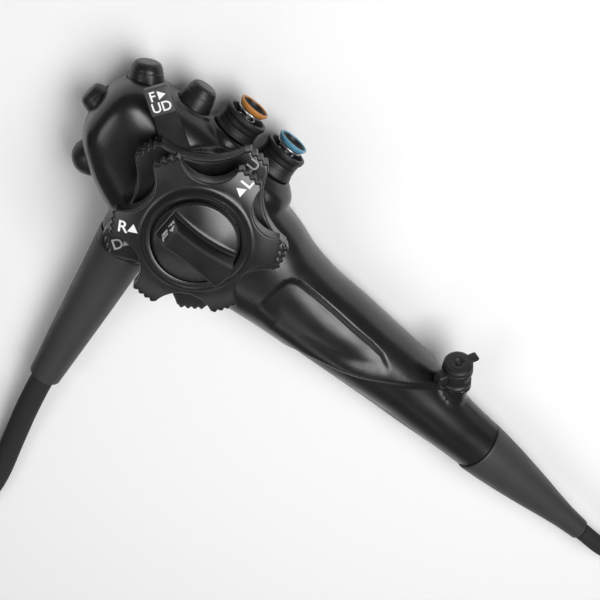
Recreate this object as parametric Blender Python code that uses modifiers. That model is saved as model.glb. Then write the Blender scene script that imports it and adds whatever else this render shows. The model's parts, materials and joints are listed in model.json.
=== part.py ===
"""Flexible endoscope, lying on its back with the angulation knobs up.

The frame: the origin is on the knob axis, in the plane of the flat back. +Z runs up the
knob axis, +X along the grip to the insertion tube, and +Y to the two valves.
"""
import math

import bmesh
import bpy
from mathutils import Matrix, Vector

MM = 0.001

# Fits and walls
FIT = 0.3 * MM
WALL = 2.4 * MM

# Moulded body of the control section, front to back and end to end
BODY_DEPTH = 37.6 * MM
BACK_RELIEF = 1.2 * MM
HEAD_END = -53.6 * MM
HEAD_LOW = -31.5 * MM
HEAD_HIGH = 26.0 * MM
SEAM = 40.0 * MM
GRIP_END = 167.5 * MM
GRIP_LOW = -30.3 * MM
GRIP_HIGH = 6.9 * MM
GRIP_DEPTH = 36.2 * MM
NECK_RADIUS = 12.5 * MM
NECK_SIDE = -16.0 * MM
AXIS_HEIGHT = BODY_DEPTH / 2 - 0.6 * MM
RING_POINTS = 30
CAVITY_POINTS = 20
RECESS_DEPTH = 1.0 * MM

# Knob stack on the control axis, from the housing up
DIAL_BOSS_RADIUS = 24.0 * MM
DIAL_BOSS_RISE = 1.2 * MM
FLANGE_RADIUS = 20.5 * MM
FLANGE_THICKNESS = 1.6 * MM
BEARING_RADIUS = 12.0 * MM
BEARING_LENGTH = 9.0 * MM
UD_SHAFT_RADIUS = 8.0 * MM
RL_SHAFT_RADIUS = 5.0 * MM
POST_RADIUS = 2.6 * MM
LEVER_THICKNESS = 2.4 * MM
LEVER_HUB_RADIUS = 18.0 * MM
LEVER_REACH = 52.4 * MM
LEVER_ANGLE = 145.4
LEVER_ARM_WIDTH = 8.0 * MM
TAB_LENGTH = 10.4 * MM
TAB_WIDTH = 9.0 * MM
TAB_RISE = 2.0 * MM
WHEEL_HUB_RADIUS = 17.0 * MM
UD_WHEEL_RADIUS = 35.3 * MM
UD_WHEEL_NECK = 25.6 * MM
UD_WHEEL_THICKNESS = 8.6 * MM
UD_WHEEL_LOBES = 5
UD_WHEEL_FIRST = 88.4
UD_HUB_RISE = 4.3 * MM
RL_WHEEL_RADIUS = 31.5 * MM
RL_WHEEL_NECK = 22.4 * MM
RL_WHEEL_THICKNESS = 8.0 * MM
RL_WHEEL_LOBES = 6
RL_WHEEL_FIRST = 88.5
LOBE_WIDTH = 10.6 * MM
TOOTH_DEPTH = 0.7 * MM
COLLAR_RADIUS = 19.2 * MM
COLLAR_RISE = 1.9 * MM
LOCK_KNOB_RADIUS = 15.6 * MM
LOCK_DISC_THICKNESS = 3.0 * MM
LOCK_BAR_HEIGHT = 11.5 * MM
LOCK_BAR_WIDTH = 10.4 * MM
LOCK_BAR_TAPER = 1.6
LOCK_BAR_START = -11.3 * MM
LOCK_SCOOP_ROUND = 2.0 * MM
DRUM_RADIUS = 10.5 * MM
DRUM_WIDTH = 5.0 * MM
DRUM_SPACE = 3.0 * MM

# Inner frame that carries the shafts
PLATE_THICKNESS = 2.2 * MM
PLATE_WIDTH = 10.0 * MM
PLATE_SIDE = -12.0 * MM
PLATE_START = -30.0 * MM
PLATE_END = 96.0 * MM
FRAME_WIDTH = 16.0 * MM
FRAME_LENGTH = 34.0 * MM
FRAME_THICKNESS = 2.4 * MM

# Valves, whose axes run along +Y: name, place along the head, drop towards the axis,
# height and root radius of the boss, and lift of the cap over the rim
SUCTION_VALVE = ("suction", -6.0 * MM, 0.0, 27.4 * MM, 12.0 * MM, 2.9 * MM)
AIR_VALVE = ("air_water", 14.4 * MM, 0.7 * MM, 25.8 * MM, 15.8 * MM, 2.4 * MM)
VALVE_HEIGHT = AXIS_HEIGHT + FIT
VALVE_RADIUS = 7.7 * MM
VALVE_BORE = 5.6 * MM
VALVE_FOOT = 12.6 * MM
VALVE_MOUTH = 31.4 * MM
RIM_RADIUS = 8.8 * MM
RIM_BORE = 6.9 * MM
RIM_HEIGHT = 5.0 * MM
BOSS_TOP_RADIUS = 9.8 * MM
BOSS_FLARE = 7.0 * MM
CAP_RADIUS = 6.35 * MM
CAP_THICKNESS = 2.3 * MM
STEM_RADIUS = 2.2 * MM
SPRING_WIRE = 0.35 * MM
SPRING_TURNS = 4

# Remote switches: place on the head, heading in degrees, radius, height
SWITCH_HEIGHT = VALVE_HEIGHT
SWITCH_SEAT = 3.0 * MM
FRONT_SWITCH = (-24.4 * MM, 25.6 * MM, 95.0, 6.9 * MM, 9.4 * MM)
CORNER_SWITCH = (-43.8 * MM, 21.4 * MM, 119.0, 7.0 * MM, 8.2 * MM)
END_SWITCH = (-50.6 * MM, 4.2 * MM, 174.0, 6.3 * MM, 7.6 * MM)
THUMB_SWITCH = (-41.0 * MM, -14.6 * MM, 229.0, 7.6 * MM, 8.8 * MM)

# Instrument port: centre of the lid's face and the way it looks
PORT_FACE = (125.9 * MM, 13.0 * MM, 31.2 * MM)
PORT_HEADING = (-0.592, 0.673, 0.443)
PORT_TAB_HEADING = (0.562, 0.739, -0.372)
PORT_LID_RADIUS = 6.2 * MM
PORT_LID_THICKNESS = 2.4 * MM
PORT_VALVE_RADIUS = 6.6 * MM
PORT_VALVE_HEIGHT = 10.8 * MM
PORT_LUG = 5.0 * MM
PORT_BORE = 3.4 * MM
PORT_BOSS_LENGTH = 20.0 * MM
PORT_BOSS_RADIUS = 7.0 * MM
PORT_ROOT_RADIUS = 13.0 * MM
PORT_TUBE_RADIUS = 2.2 * MM
CHANNEL_BORE = 1.4 * MM

# Boots and cords
BOOT_LENGTH = 69.5 * MM
BOOT_DRIFT = -4.0 * MM
BOOT_DROP = -1.2 * MM
BOOT_TIP_RADIUS = 5.0 * MM
TUBE_DIAMETER = 8.0 * MM
SLEEVE_RADIUS = 7.6 * MM
SLEEVE_DEPTH = 9.0 * MM
CORD_DIAMETER = 10.0 * MM
CORD_BOOT_ROOT = (-10.6 * MM, -33.6 * MM, 18.2 * MM)
CORD_BOOT_TIP = (2.0 * MM, -110.4 * MM, 13.0 * MM)
CORD_BOOT_RADIUS = 11.5 * MM
CORD_BOOT_TIP_RADIUS = 6.9 * MM
CORD_NUT_LENGTH = 4.6 * MM
CORD_NUT_RADIUS = 11.8 * MM

# Coil of the insertion tube and the bending section at its end
TUBE_COIL_CENTRE = (299.0 * MM, 20.0 * MM)
TUBE_COIL_MIDDLE = 36.0 * MM
BEND_LINKS = 9
BEND_PITCH = 7.2 * MM
BEND_RADIUS = 4.3 * MM
BEND_BORE = 3.3 * MM
BEND_BASE_LENGTH = 5.0 * MM
BEND_START = 263.0 * MM
ROOF_ANGLE = 17.6
SIDEWAYS_PIVOTS = (2, 5, 8)
TIP_LENGTH = 11.0 * MM
TIP_RADIUS = 4.5 * MM

# Coil of the light guide cord and the connector at its end
CORD_COIL_CENTRE = (-54.0 * MM, -182.0 * MM)
CORD_COIL_MIDDLE = 50.0 * MM
CONNECTOR_START = (-109.0 * MM, -131.3 * MM)
CONNECTOR_RADIUS = 19.0 * MM
CONNECTOR_LENGTH = 58.0 * MM
CONNECTOR_BOOT_LENGTH = 22.0 * MM
GUIDE_ROD_RADIUS = 5.0 * MM
GUIDE_ROD_LENGTH = 26.0 * MM

# Heights that follow from the stack
DIAL_TOP = BODY_DEPTH + DIAL_BOSS_RISE
FLANGE_TOP = DIAL_TOP + FIT + FLANGE_THICKNESS
LEVER_TOP = FLANGE_TOP + FIT + LEVER_THICKNESS
UD_BOTTOM = LEVER_TOP + FIT
UD_TOP = UD_BOTTOM + UD_WHEEL_THICKNESS
UD_HUB_TOP = UD_TOP + UD_HUB_RISE
RL_BOTTOM = UD_HUB_TOP + FIT
RL_TOP = RL_BOTTOM + RL_WHEEL_THICKNESS
KNOB_BOTTOM = RL_TOP + FIT
KNOB_FLOOR = KNOB_BOTTOM + LOCK_DISC_THICKNESS
KNOB_TOP = KNOB_FLOOR + LOCK_BAR_HEIGHT
PLATE_BOTTOM = WALL + FIT
PLATE_TOP = PLATE_BOTTOM + PLATE_THICKNESS
RL_DRUM_BOTTOM = PLATE_TOP + DRUM_SPACE
UD_DRUM_BOTTOM = RL_DRUM_BOTTOM + DRUM_WIDTH + DRUM_SPACE

COLLECTION = "flexible_endoscope"
CUTTERS = "cutters"


def clear_scene():
    for item in list(bpy.data.objects):
        bpy.data.objects.remove(item)


def collection(name):
    found = bpy.data.collections.get(name)
    if found is None:
        found = bpy.data.collections.new(name)
        bpy.context.scene.collection.children.link(found)
    return found


def material(name, colour, roughness, metallic=0.0):
    made = bpy.data.materials.new(name)
    made.use_nodes = True
    shader = made.node_tree.nodes["Principled BSDF"]
    shader.inputs["Base Color"].default_value = (*colour, 1.0)
    shader.inputs["Roughness"].default_value = roughness
    shader.inputs["Metallic"].default_value = metallic
    return made


def place(name, mesh, finish=None):
    """Add a mesh as a part, or as a cutter when it has no finish."""
    item = bpy.data.objects.new(name, mesh)
    if finish is None:
        collection(CUTTERS).objects.link(item)
        item.hide_render = True
        item.display_type = "WIRE"
    else:
        collection(COLLECTION).objects.link(item)
        mesh.materials.append(finish)
    return item


def heading_matrix(centre, heading):
    turn = Vector(heading).to_track_quat("Z", "Y").to_matrix().to_4x4()
    return Matrix.Translation(Vector(centre)) @ turn


def turned(name, profile, finish=None, centre=(0, 0, 0), heading=(0, 0, 1), steps=32):
    """Turn a profile of (radius, height) points, listed down its outer side."""
    mesh = bpy.data.meshes.new(name)
    points = [(radius, 0.0, height) for radius, height in profile]
    edges = [(index, index + 1) for index in range(len(points) - 1)]
    if profile[0][0] > 0.0:
        edges.append((len(points) - 1, 0))
    mesh.from_pydata(points, edges, [])
    item = place(name, mesh, finish)
    screw = item.modifiers.new("turn", "SCREW")
    screw.axis = "Z"
    screw.angle = 2.0 * math.pi
    screw.steps = steps
    screw.render_steps = steps
    screw.use_merge_vertices = True
    screw.merge_threshold = 0.00001
    screw.use_smooth_shade = True
    item.matrix_world = heading_matrix(centre, heading)
    return item


def pipe_profile(outer, inner, bottom, top):
    return [(outer, top), (outer, bottom), (inner, bottom), (inner, top)]


def rod_profile(radius, bottom, top, edge=0.0):
    if edge == 0.0:
        return [(0.0, top), (radius, top), (radius, bottom), (0.0, bottom)]
    return [(0.0, top), (radius - edge, top), (radius, top - edge), (radius, bottom), (0.0, bottom)]


def ring_loft(name, rings, finish=None, looped=False):
    """Skin a run of rings that have the same number of points."""
    made = bmesh.new()
    rows = [[made.verts.new(point) for point in ring] for ring in rings]
    pairs = list(zip(rows, rows[1:]))
    if looped:
        pairs.append((rows[-1], rows[0]))
    for first, second in pairs:
        count = len(first)
        for index in range(count):
            after = (index + 1) % count
            made.faces.new((first[index], first[after], second[after], second[index]))
    if not looped:
        made.faces.new(rows[0])
        made.faces.new(rows[-1])
    bmesh.ops.recalc_face_normals(made, faces=made.faces)
    mesh = bpy.data.meshes.new(name)
    made.to_mesh(mesh)
    made.free()
    mesh.shade_smooth()
    mesh.set_sharp_from_angle(angle=math.radians(35))
    return place(name, mesh, finish)


def oval_ring(centre, across, up, count=24):
    centre, across, up = Vector(centre), Vector(across), Vector(up)
    angles = [2.0 * math.pi * (index + 0.5) / count for index in range(count)]
    return [centre + across * math.cos(angle) + up * math.sin(angle) for angle in angles]


def box(name, size, centre, finish=None, angle=0.0, edge=0.0):
    made = bmesh.new()
    bmesh.ops.create_cube(made, size=1.0)
    bmesh.ops.scale(made, vec=Vector(size), verts=made.verts)
    if edge > 0.0:
        bmesh.ops.bevel(made, geom=made.edges, offset=edge, segments=2, affect="EDGES", profile=0.5)
    mesh = bpy.data.meshes.new(name)
    made.to_mesh(mesh)
    made.free()
    item = place(name, mesh, finish)
    item.matrix_world = Matrix.Translation(Vector(centre)) @ Matrix.Rotation(angle, 4, "Z")
    return item


def combine(item, other, operation="DIFFERENCE"):
    step = item.modifiers.new(operation.lower(), "BOOLEAN")
    step.operation = operation
    step.solver = "EXACT"
    step.object = other


def pivot(name, point, parent=None):
    """An empty on a joint's axis that carries the pieces that turn or slide with it."""
    item = bpy.data.objects.new(name, None)
    collection(COLLECTION).objects.link(item)
    item.matrix_world = Matrix.Translation(Vector(point))
    bpy.context.view_layer.update()
    if parent is not None:
        carry(parent, item)
    return item


def carry(parent, *items):
    bpy.context.view_layer.update()
    for item in items:
        world = item.matrix_world.copy()
        item.parent = parent
        item.matrix_parent_inverse = parent.matrix_world.inverted()
        item.matrix_world = world


def compass(degrees):
    return Vector((math.cos(math.radians(degrees)), math.sin(math.radians(degrees)), 0.0))


def body_stations():
    """Sections of the moulded body: along, low side, high side, back, front, squareness."""
    depth = BODY_DEPTH
    back = -BACK_RELIEF
    middle = AXIS_HEIGHT
    neck_low, neck_high = NECK_SIDE - NECK_RADIUS, NECK_SIDE + NECK_RADIUS
    return (
        (HEAD_END, -1.0 * MM, 11.0 * MM, 12.0 * MM, 25.0 * MM, 2.6),
        (HEAD_END + 1.4 * MM, -5.6 * MM, 15.6 * MM, 6.6 * MM, 31.4 * MM, 2.7),
        (HEAD_END + 4.6 * MM, -10.4 * MM, 20.4 * MM, 1.6 * MM, depth - 1.6 * MM, 2.8),
        (HEAD_END + 10.0 * MM, -15.6 * MM, HEAD_HIGH - 2.2 * MM, back, depth, 2.9),
        (HEAD_END + 20.0 * MM, -22.2 * MM, HEAD_HIGH - 0.6 * MM, back, depth, 3.0),
        (-20.0 * MM, HEAD_LOW + 3.4 * MM, HEAD_HIGH + 0.4 * MM, back, depth, 3.0),
        (-4.0 * MM, HEAD_LOW + 0.6 * MM, HEAD_HIGH - 0.4 * MM, back, depth, 3.0),
        (SEAM - 26.0 * MM, HEAD_LOW, HEAD_HIGH - 3.8 * MM, back, depth, 2.9),
        (SEAM - 12.0 * MM, HEAD_LOW + 0.2 * MM, HEAD_HIGH - 8.6 * MM, back, depth, 2.7),
        (SEAM, HEAD_LOW + 0.6 * MM, HEAD_HIGH - 11.6 * MM, back, depth, 2.5),
        (SEAM + 12.0 * MM, GRIP_LOW - 0.2 * MM, GRIP_HIGH + 3.4 * MM, back, depth - 0.8 * MM, 2.3),
        (66.0 * MM, GRIP_LOW, GRIP_HIGH + 0.8 * MM, back, GRIP_DEPTH, 2.2),
        (82.0 * MM, GRIP_LOW, GRIP_HIGH - 0.2 * MM, back, GRIP_DEPTH - 0.2 * MM, 2.2),
        (98.0 * MM, GRIP_LOW + 0.2 * MM, GRIP_HIGH - 1.7 * MM, back, GRIP_DEPTH - 1.0 * MM, 2.2),
        (112.0 * MM, GRIP_LOW + 0.5 * MM, GRIP_HIGH - 2.6 * MM, 0.4 * MM, GRIP_DEPTH - 1.8 * MM, 2.1),
        (132.0 * MM, GRIP_LOW + 0.8 * MM, GRIP_HIGH - 5.2 * MM, 2.2 * MM, GRIP_DEPTH - 3.2 * MM, 2.0),
        (152.0 * MM, neck_low, neck_high + 1.6 * MM, 4.4 * MM, middle + NECK_RADIUS + 0.8 * MM, 2.0),
        (GRIP_END, neck_low, neck_high, middle - NECK_RADIUS, middle + NECK_RADIUS, 2.0),
    )


def body_section(along):
    """Read the stations as a smooth curve at one place along the body."""
    rows = body_stations()
    last = len(rows) - 2
    index = 0
    while index < last and along > rows[index + 1][0]:
        index += 1
    before, first = rows[max(index - 1, 0)], rows[index]
    second, after = rows[index + 1], rows[min(index + 2, len(rows) - 1)]
    span = second[0] - first[0]
    share = min(max((along - first[0]) / span, 0.0), 1.0)
    values = []
    for column in range(1, len(first)):
        start, end = first[column], second[column]
        slope_in = (end - before[column]) / (second[0] - before[0]) * span
        slope_out = (after[column] - start) / (after[0] - first[0]) * span
        square, cube = share * share, share ** 3
        values.append((2 * cube - 3 * square + 1) * start + (cube - 2 * square + share) * slope_in
                      + (3 * square - 2 * cube) * end + (cube - square) * slope_out)
    return values


def signed_power(value, power):
    return math.copysign(abs(value) ** power, value)


def body_ring(along, inset=0.0, count=RING_POINTS):
    low, high, back, front, squareness = body_section(along)
    half_side, half_depth = (high - low) / 2 - inset, (front - back) / 2 - inset
    side, height = (high + low) / 2, (front + back) / 2
    power = 2.0 / squareness
    ring = []
    for index in range(count):
        angle = 2.0 * math.pi * (index + 0.5) / count
        across = side + half_side * signed_power(math.cos(angle), power)
        up = height + half_depth * signed_power(math.sin(angle), power)
        ring.append(Vector((along, across, max(up, inset))))
    return ring


def spaced(start, end, count, crowding=1.0):
    """Places from start to end, crowded at the start when crowding is over one."""
    return [start + (end - start) * (index / (count - 1)) ** crowding for index in range(count)]


def body_shell(name, places, finish, inner_places):
    shell = ring_loft(name, [body_ring(along) for along in places], finish)
    cavity = ring_loft(name + "_cavity", [body_ring(along, WALL, CAVITY_POINTS) for along in inner_places])
    return shell, cavity


def switch_axes():
    return (("front_switch", FRONT_SWITCH), ("corner_switch", CORNER_SWITCH),
            ("end_switch", END_SWITCH), ("thumb_switch", THUMB_SWITCH))


def cord_heading():
    return (Vector(CORD_BOOT_TIP) - Vector(CORD_BOOT_ROOT)).normalized()


def valve_boss_profile(top, wide):
    swell = wide - BOSS_TOP_RADIUS
    return [(0.0, top), (BOSS_TOP_RADIUS, top), (BOSS_TOP_RADIUS + 0.2 * swell, top - 0.1 * BOSS_FLARE),
            (BOSS_TOP_RADIUS + 0.8 * swell, top - 0.5 * BOSS_FLARE), (wide, top - BOSS_FLARE),
            (wide, VALVE_FOOT - BOSS_FLARE), (0.0, VALVE_FOOT - BOSS_FLARE)]


def head_cover(finish):
    places = spaced(HEAD_END, SEAM, 15, 1.45)
    inner = spaced(HEAD_END + WALL * 1.3, SEAM + 2 * WALL, 9, 1.3)
    shell, cavity = body_shell("head_cover", places, finish, inner)
    inside = BODY_DEPTH / 2
    combine(shell, turned("dial_boss", rod_profile(DIAL_BOSS_RADIUS, inside, DIAL_TOP, 0.8 * MM),
                          steps=40), "UNION")
    for name, along, drop, top, wide, _ in (SUCTION_VALVE, AIR_VALVE):
        boss = turned(name + "_boss", valve_boss_profile(top, wide), centre=(along, -drop, VALVE_HEIGHT),
                      heading=(0, 1, 0), steps=24)
        combine(shell, boss, "UNION")
    for name, (along, side, heading, radius, _) in switch_axes():
        seat = turned(name + "_seat", rod_profile(radius + 1.6 * MM, -6.0 * MM, 0.9 * MM, 0.6 * MM),
                      centre=(along, side, SWITCH_HEIGHT), heading=compass(heading), steps=20)
        combine(shell, seat, "UNION")
    root = Vector(CORD_BOOT_ROOT)
    cord_boss = turned("cord_boss", rod_profile(CORD_NUT_RADIUS, -16.0 * MM, 0.0, 0.6 * MM), centre=root,
                       heading=cord_heading(), steps=32)
    combine(shell, cord_boss, "UNION")
    combine(shell, cavity)
    combine(shell, turned("dial_bore", rod_profile(BEARING_RADIUS + FIT, inside, DIAL_TOP + 2 * MM), steps=32))
    for name, along, drop, top, _, _ in (SUCTION_VALVE, AIR_VALVE):
        bore = turned(name + "_bore", rod_profile(VALVE_RADIUS + FIT, 0.0, top + 2 * MM),
                      centre=(along, -drop, VALVE_HEIGHT), heading=(0, 1, 0), steps=24)
        combine(shell, bore)
    for name, (along, side, heading, radius, _) in switch_axes():
        bore = turned(name + "_bore", rod_profile(radius + FIT, -12.0 * MM, 6.0 * MM),
                      centre=(along, side, SWITCH_HEIGHT), heading=compass(heading), steps=20)
        combine(shell, bore)
    cord_bore = turned("cord_bore", rod_profile(SLEEVE_RADIUS + FIT, -20.0 * MM, 3.0 * MM), centre=root,
                       heading=cord_heading(), steps=24)
    combine(shell, cord_bore)
    return shell


def port_point(along):
    """A point on the port's axis, measured out from the face of the closed lid."""
    return Vector(PORT_FACE) + Vector(PORT_HEADING).normalized() * along


def port_boss():
    top = -PORT_LID_THICKNESS - PORT_VALVE_HEIGHT - 2 * FIT
    heading = Vector(PORT_HEADING).normalized()
    side = heading.cross(Vector((0, 0, 1))).normalized()
    up = side.cross(heading)
    rings = []
    for share, radius, shift in ((0.0, PORT_BOSS_RADIUS - 0.5 * MM, 0.0), (0.04, PORT_BOSS_RADIUS, 0.0),
                                 (0.3, PORT_BOSS_RADIUS + 0.8 * MM, 1.2 * MM),
                                 (0.65, PORT_BOSS_RADIUS + 3.2 * MM, 4.6 * MM),
                                 (1.0, PORT_ROOT_RADIUS, 9.0 * MM)):
        centre = port_point(top - PORT_BOSS_LENGTH * share) - Vector((shift, 0, 0))
        rings.append(oval_ring(centre, side * radius, up * radius, 28))
    return ring_loft("port_boss", rings)


def recess_outline():
    """The hollow for the fingers, in plan, with its head end cut off square."""
    points = ((44.4, -17.8), (45.7, -1.6), (47.6, 0.9), (51.4, 2.6), (60.0, 1.8), (73.4, 0.2), (88.2, -1.4),
              (96.6, -1.6), (99.4, -4.0), (96.0, -9.0), (84.0, -16.6), (70.0, -21.6), (56.0, -22.6))
    return [(across * MM, along * MM) for across, along in points]


def recess_cutter():
    """A block over the hollow, less the body grown inwards, so that the hollow is even in depth."""
    block = extruded("recess_block", recess_outline(), 1.5 * AXIS_HEIGHT, BODY_DEPTH)
    places = spaced(SEAM, GRIP_END - 2 * BOOT_TIP_RADIUS, 9)
    combine(block, ring_loft("recess_floor", [body_ring(along, RECESS_DEPTH) for along in places]))
    return block


def grip_cover(finish):
    start, end = insertion_axis()
    places = spaced(SEAM + FIT, GRIP_END + 3 * MM, 14)
    inner = spaced(SEAM - 2 * WALL, GRIP_END - 5.0 * MM, 9)
    shell, cavity = body_shell("grip_cover", places, finish, inner)
    combine(shell, port_boss(), "UNION")
    combine(shell, cavity)
    combine(shell, turned("end_trim", rod_profile(2 * NECK_RADIUS, -FIT, 12 * MM), centre=start,
                          heading=end - start, steps=24))
    combine(shell, turned("end_bore", rod_profile(SLEEVE_RADIUS + FIT, -14 * MM, 3 * MM), centre=start,
                          heading=end - start, steps=24))
    port_bore = turned("port_bore", rod_profile(PORT_BORE + FIT, -42 * MM, 0.0),
                       centre=PORT_FACE, heading=PORT_HEADING, steps=20)
    combine(shell, port_bore)
    seat_bottom = -PORT_LID_THICKNESS - PORT_VALVE_HEIGHT - FIT
    combine(shell, turned("port_seat", rod_profile(PORT_VALVE_RADIUS + 2 * FIT, seat_bottom, 12 * MM),
                          centre=PORT_FACE, heading=PORT_HEADING, steps=24))
    combine(shell, recess_cutter())
    return shell


def bearing_flange(finish):
    bottom = DIAL_TOP + FIT - BEARING_LENGTH
    edge = 0.4 * MM
    profile = [(UD_SHAFT_RADIUS + FIT, FLANGE_TOP), (FLANGE_RADIUS - edge, FLANGE_TOP),
               (FLANGE_RADIUS, FLANGE_TOP - edge), (FLANGE_RADIUS, DIAL_TOP + FIT),
               (BEARING_RADIUS, DIAL_TOP + FIT), (BEARING_RADIUS, bottom), (UD_SHAFT_RADIUS + FIT, bottom)]
    return turned("bearing_flange", profile, finish, steps=36)


def lever_outline():
    """Half turn round the hub, then the arm, which widens into the tab's foot."""
    half = LEVER_ARM_WIDTH / 2
    start = math.asin(half / LEVER_HUB_RADIUS)
    count = 28
    points = []
    for index in range(count + 1):
        angle = start + (2.0 * math.pi - 2.0 * start) * index / count
        points.append((LEVER_HUB_RADIUS * math.cos(angle), LEVER_HUB_RADIUS * math.sin(angle)))
    tab = TAB_WIDTH / 2
    foot = LEVER_REACH - TAB_LENGTH
    points += [(foot, -half), (foot + 0.6 * MM, -tab), (LEVER_REACH - 0.6 * MM, -tab),
               (LEVER_REACH, -tab + 0.6 * MM), (LEVER_REACH, tab - 0.6 * MM),
               (LEVER_REACH - 0.6 * MM, tab), (foot + 0.6 * MM, tab), (foot, half)]
    return points


def extruded(name, outline, bottom, thickness, finish=None):
    """A flat outline as a filled 2D curve, made a mesh with welded caps."""
    curve = bpy.data.curves.new(name, "CURVE")
    curve.dimensions = "2D"
    curve.fill_mode = "BOTH"
    curve.extrude = thickness / 2
    spline = curve.splines.new("POLY")
    spline.points.add(len(outline) - 1)
    for point, (across, along) in zip(spline.points, outline):
        point.co = (across, along, 0.0, 1.0)
    spline.use_cyclic_u = True
    drawn = bpy.data.objects.new(name + "_outline", curve)
    collection(CUTTERS).objects.link(drawn)
    drawn.location = (0.0, 0.0, bottom + thickness / 2)
    bpy.context.view_layer.update()
    graph = bpy.context.evaluated_depsgraph_get()
    mesh = bpy.data.meshes.new_from_object(drawn.evaluated_get(graph))
    matrix = drawn.matrix_world.copy()
    bpy.data.objects.remove(drawn)
    made = bmesh.new()
    made.from_mesh(mesh)
    bmesh.ops.remove_doubles(made, verts=made.verts, dist=0.00001)
    bmesh.ops.recalc_face_normals(made, faces=made.faces)
    made.to_mesh(mesh)
    made.free()
    mesh.materials.clear()
    item = place(name, mesh, finish)
    item.matrix_world = matrix
    return item


def ud_lock_lever(finish):
    bottom = FLANGE_TOP + FIT
    lever = extruded("ud_lock_lever", lever_outline(), bottom, LEVER_THICKNESS, finish)
    tab_size = (TAB_LENGTH, TAB_WIDTH, LEVER_THICKNESS + TAB_RISE)
    tab_centre = (LEVER_REACH - TAB_LENGTH / 2, 0, bottom + tab_size[2] / 2)
    combine(lever, box("tab_block", tab_size, tab_centre, edge=0.5 * MM), "UNION")
    combine(lever, turned("lever_bore", rod_profile(UD_SHAFT_RADIUS + 2 * FIT, 0.0, UD_TOP), steps=32))
    for helper in ("tab_block", "lever_bore"):
        turn_about_axis(bpy.data.objects[helper], LEVER_ANGLE)
    turn_about_axis(lever, LEVER_ANGLE)
    return lever


def turn_about_axis(item, degrees):
    item.matrix_world = Matrix.Rotation(math.radians(degrees), 4, "Z") @ item.matrix_world


def wheel_outline(radius, neck, lobes, first, scallop_points=7, teeth=3):
    """Round a lobed wheel: a toothed lobe end, then a round scallop to the next lobe."""
    half_lobe = math.asin(LOBE_WIDTH / 2 / radius)
    pitch = 2.0 * math.pi / lobes
    corner = pitch / 2 - half_lobe
    edge = radius - TOOTH_DEPTH
    corner_out, corner_side = edge * math.cos(corner), edge * math.sin(corner)
    centre = (corner_out ** 2 + corner_side ** 2 - neck ** 2) / (2.0 * (corner_out - neck))
    bowl = centre - neck
    reach = math.atan2(corner_side, centre - corner_out)
    outline = []
    for lobe in range(lobes):
        tip = math.radians(first) + lobe * pitch
        steps = 2 * teeth
        for index in range(steps + 1):
            share = index / steps
            depth = TOOTH_DEPTH if index % 2 == 0 else 0.0
            outline.append((radius - depth, tip - half_lobe + 2.0 * half_lobe * share))
        for index in range(1, scallop_points):
            angle = -reach + 2.0 * reach * index / scallop_points
            out, side = centre - bowl * math.cos(angle), bowl * math.sin(angle)
            outline.append((math.hypot(out, side), tip + pitch / 2 + math.atan2(side, out)))
    return outline


def lobed_wheel(name, outline, stations, finish):
    """Skin rings that pass from a circle at the hub to the lobed outline at the rim."""
    rings = []
    for radius, share, height in stations:
        ring = []
        for reach, angle in outline:
            out = radius * (1.0 - share) + reach * share
            ring.append(Vector((out * math.cos(angle), out * math.sin(angle), height)))
        rings.append(ring)
    return ring_loft(name, rings, finish, looped=True)


def ud_wheel(finish):
    outline = wheel_outline(UD_WHEEL_RADIUS, UD_WHEEL_NECK, UD_WHEEL_LOBES, UD_WHEEL_FIRST, 9)
    bore = UD_SHAFT_RADIUS + FIT
    stations = [(bore, 0, UD_BOTTOM), (WHEEL_HUB_RADIUS, 0, UD_BOTTOM), (0, 0.965, UD_BOTTOM + 0.5 * MM),
                (0, 1, UD_BOTTOM + 1.6 * MM), (0, 1, UD_TOP - 1.8 * MM), (0, 0.96, UD_TOP - 0.4 * MM),
                (WHEEL_HUB_RADIUS + 2 * MM, 0, UD_TOP), (WHEEL_HUB_RADIUS, 0, UD_TOP + 0.8 * MM),
                (WHEEL_HUB_RADIUS - 0.6 * MM, 0, UD_HUB_TOP), (bore, 0, UD_HUB_TOP)]
    return lobed_wheel("ud_wheel", outline, stations, finish)


def rl_wheel(finish):
    outline = wheel_outline(RL_WHEEL_RADIUS, RL_WHEEL_NECK, RL_WHEEL_LOBES, RL_WHEEL_FIRST)
    bore = RL_SHAFT_RADIUS + FIT
    recess = LOCK_KNOB_RADIUS + 2 * FIT
    stations = [(bore, 0, RL_BOTTOM), (WHEEL_HUB_RADIUS, 0, RL_BOTTOM), (0, 0.965, RL_BOTTOM + 0.5 * MM),
                (0, 1, RL_BOTTOM + 1.6 * MM), (0, 1, RL_TOP - 2.4 * MM), (0, 0.955, RL_TOP - 0.9 * MM),
                (COLLAR_RADIUS + 1.2 * MM, 0, RL_TOP - 0.2 * MM), (COLLAR_RADIUS, 0, RL_TOP + 0.6 * MM),
                (COLLAR_RADIUS - 1.0 * MM, 0, RL_TOP + COLLAR_RISE), (recess + 0.6 * MM, 0, RL_TOP + COLLAR_RISE),
                (recess, 0, RL_TOP + COLLAR_RISE - 0.6 * MM), (recess, 0, RL_TOP), (bore, 0, RL_TOP)]
    return lobed_wheel("rl_wheel", outline, stations, finish)


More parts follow.
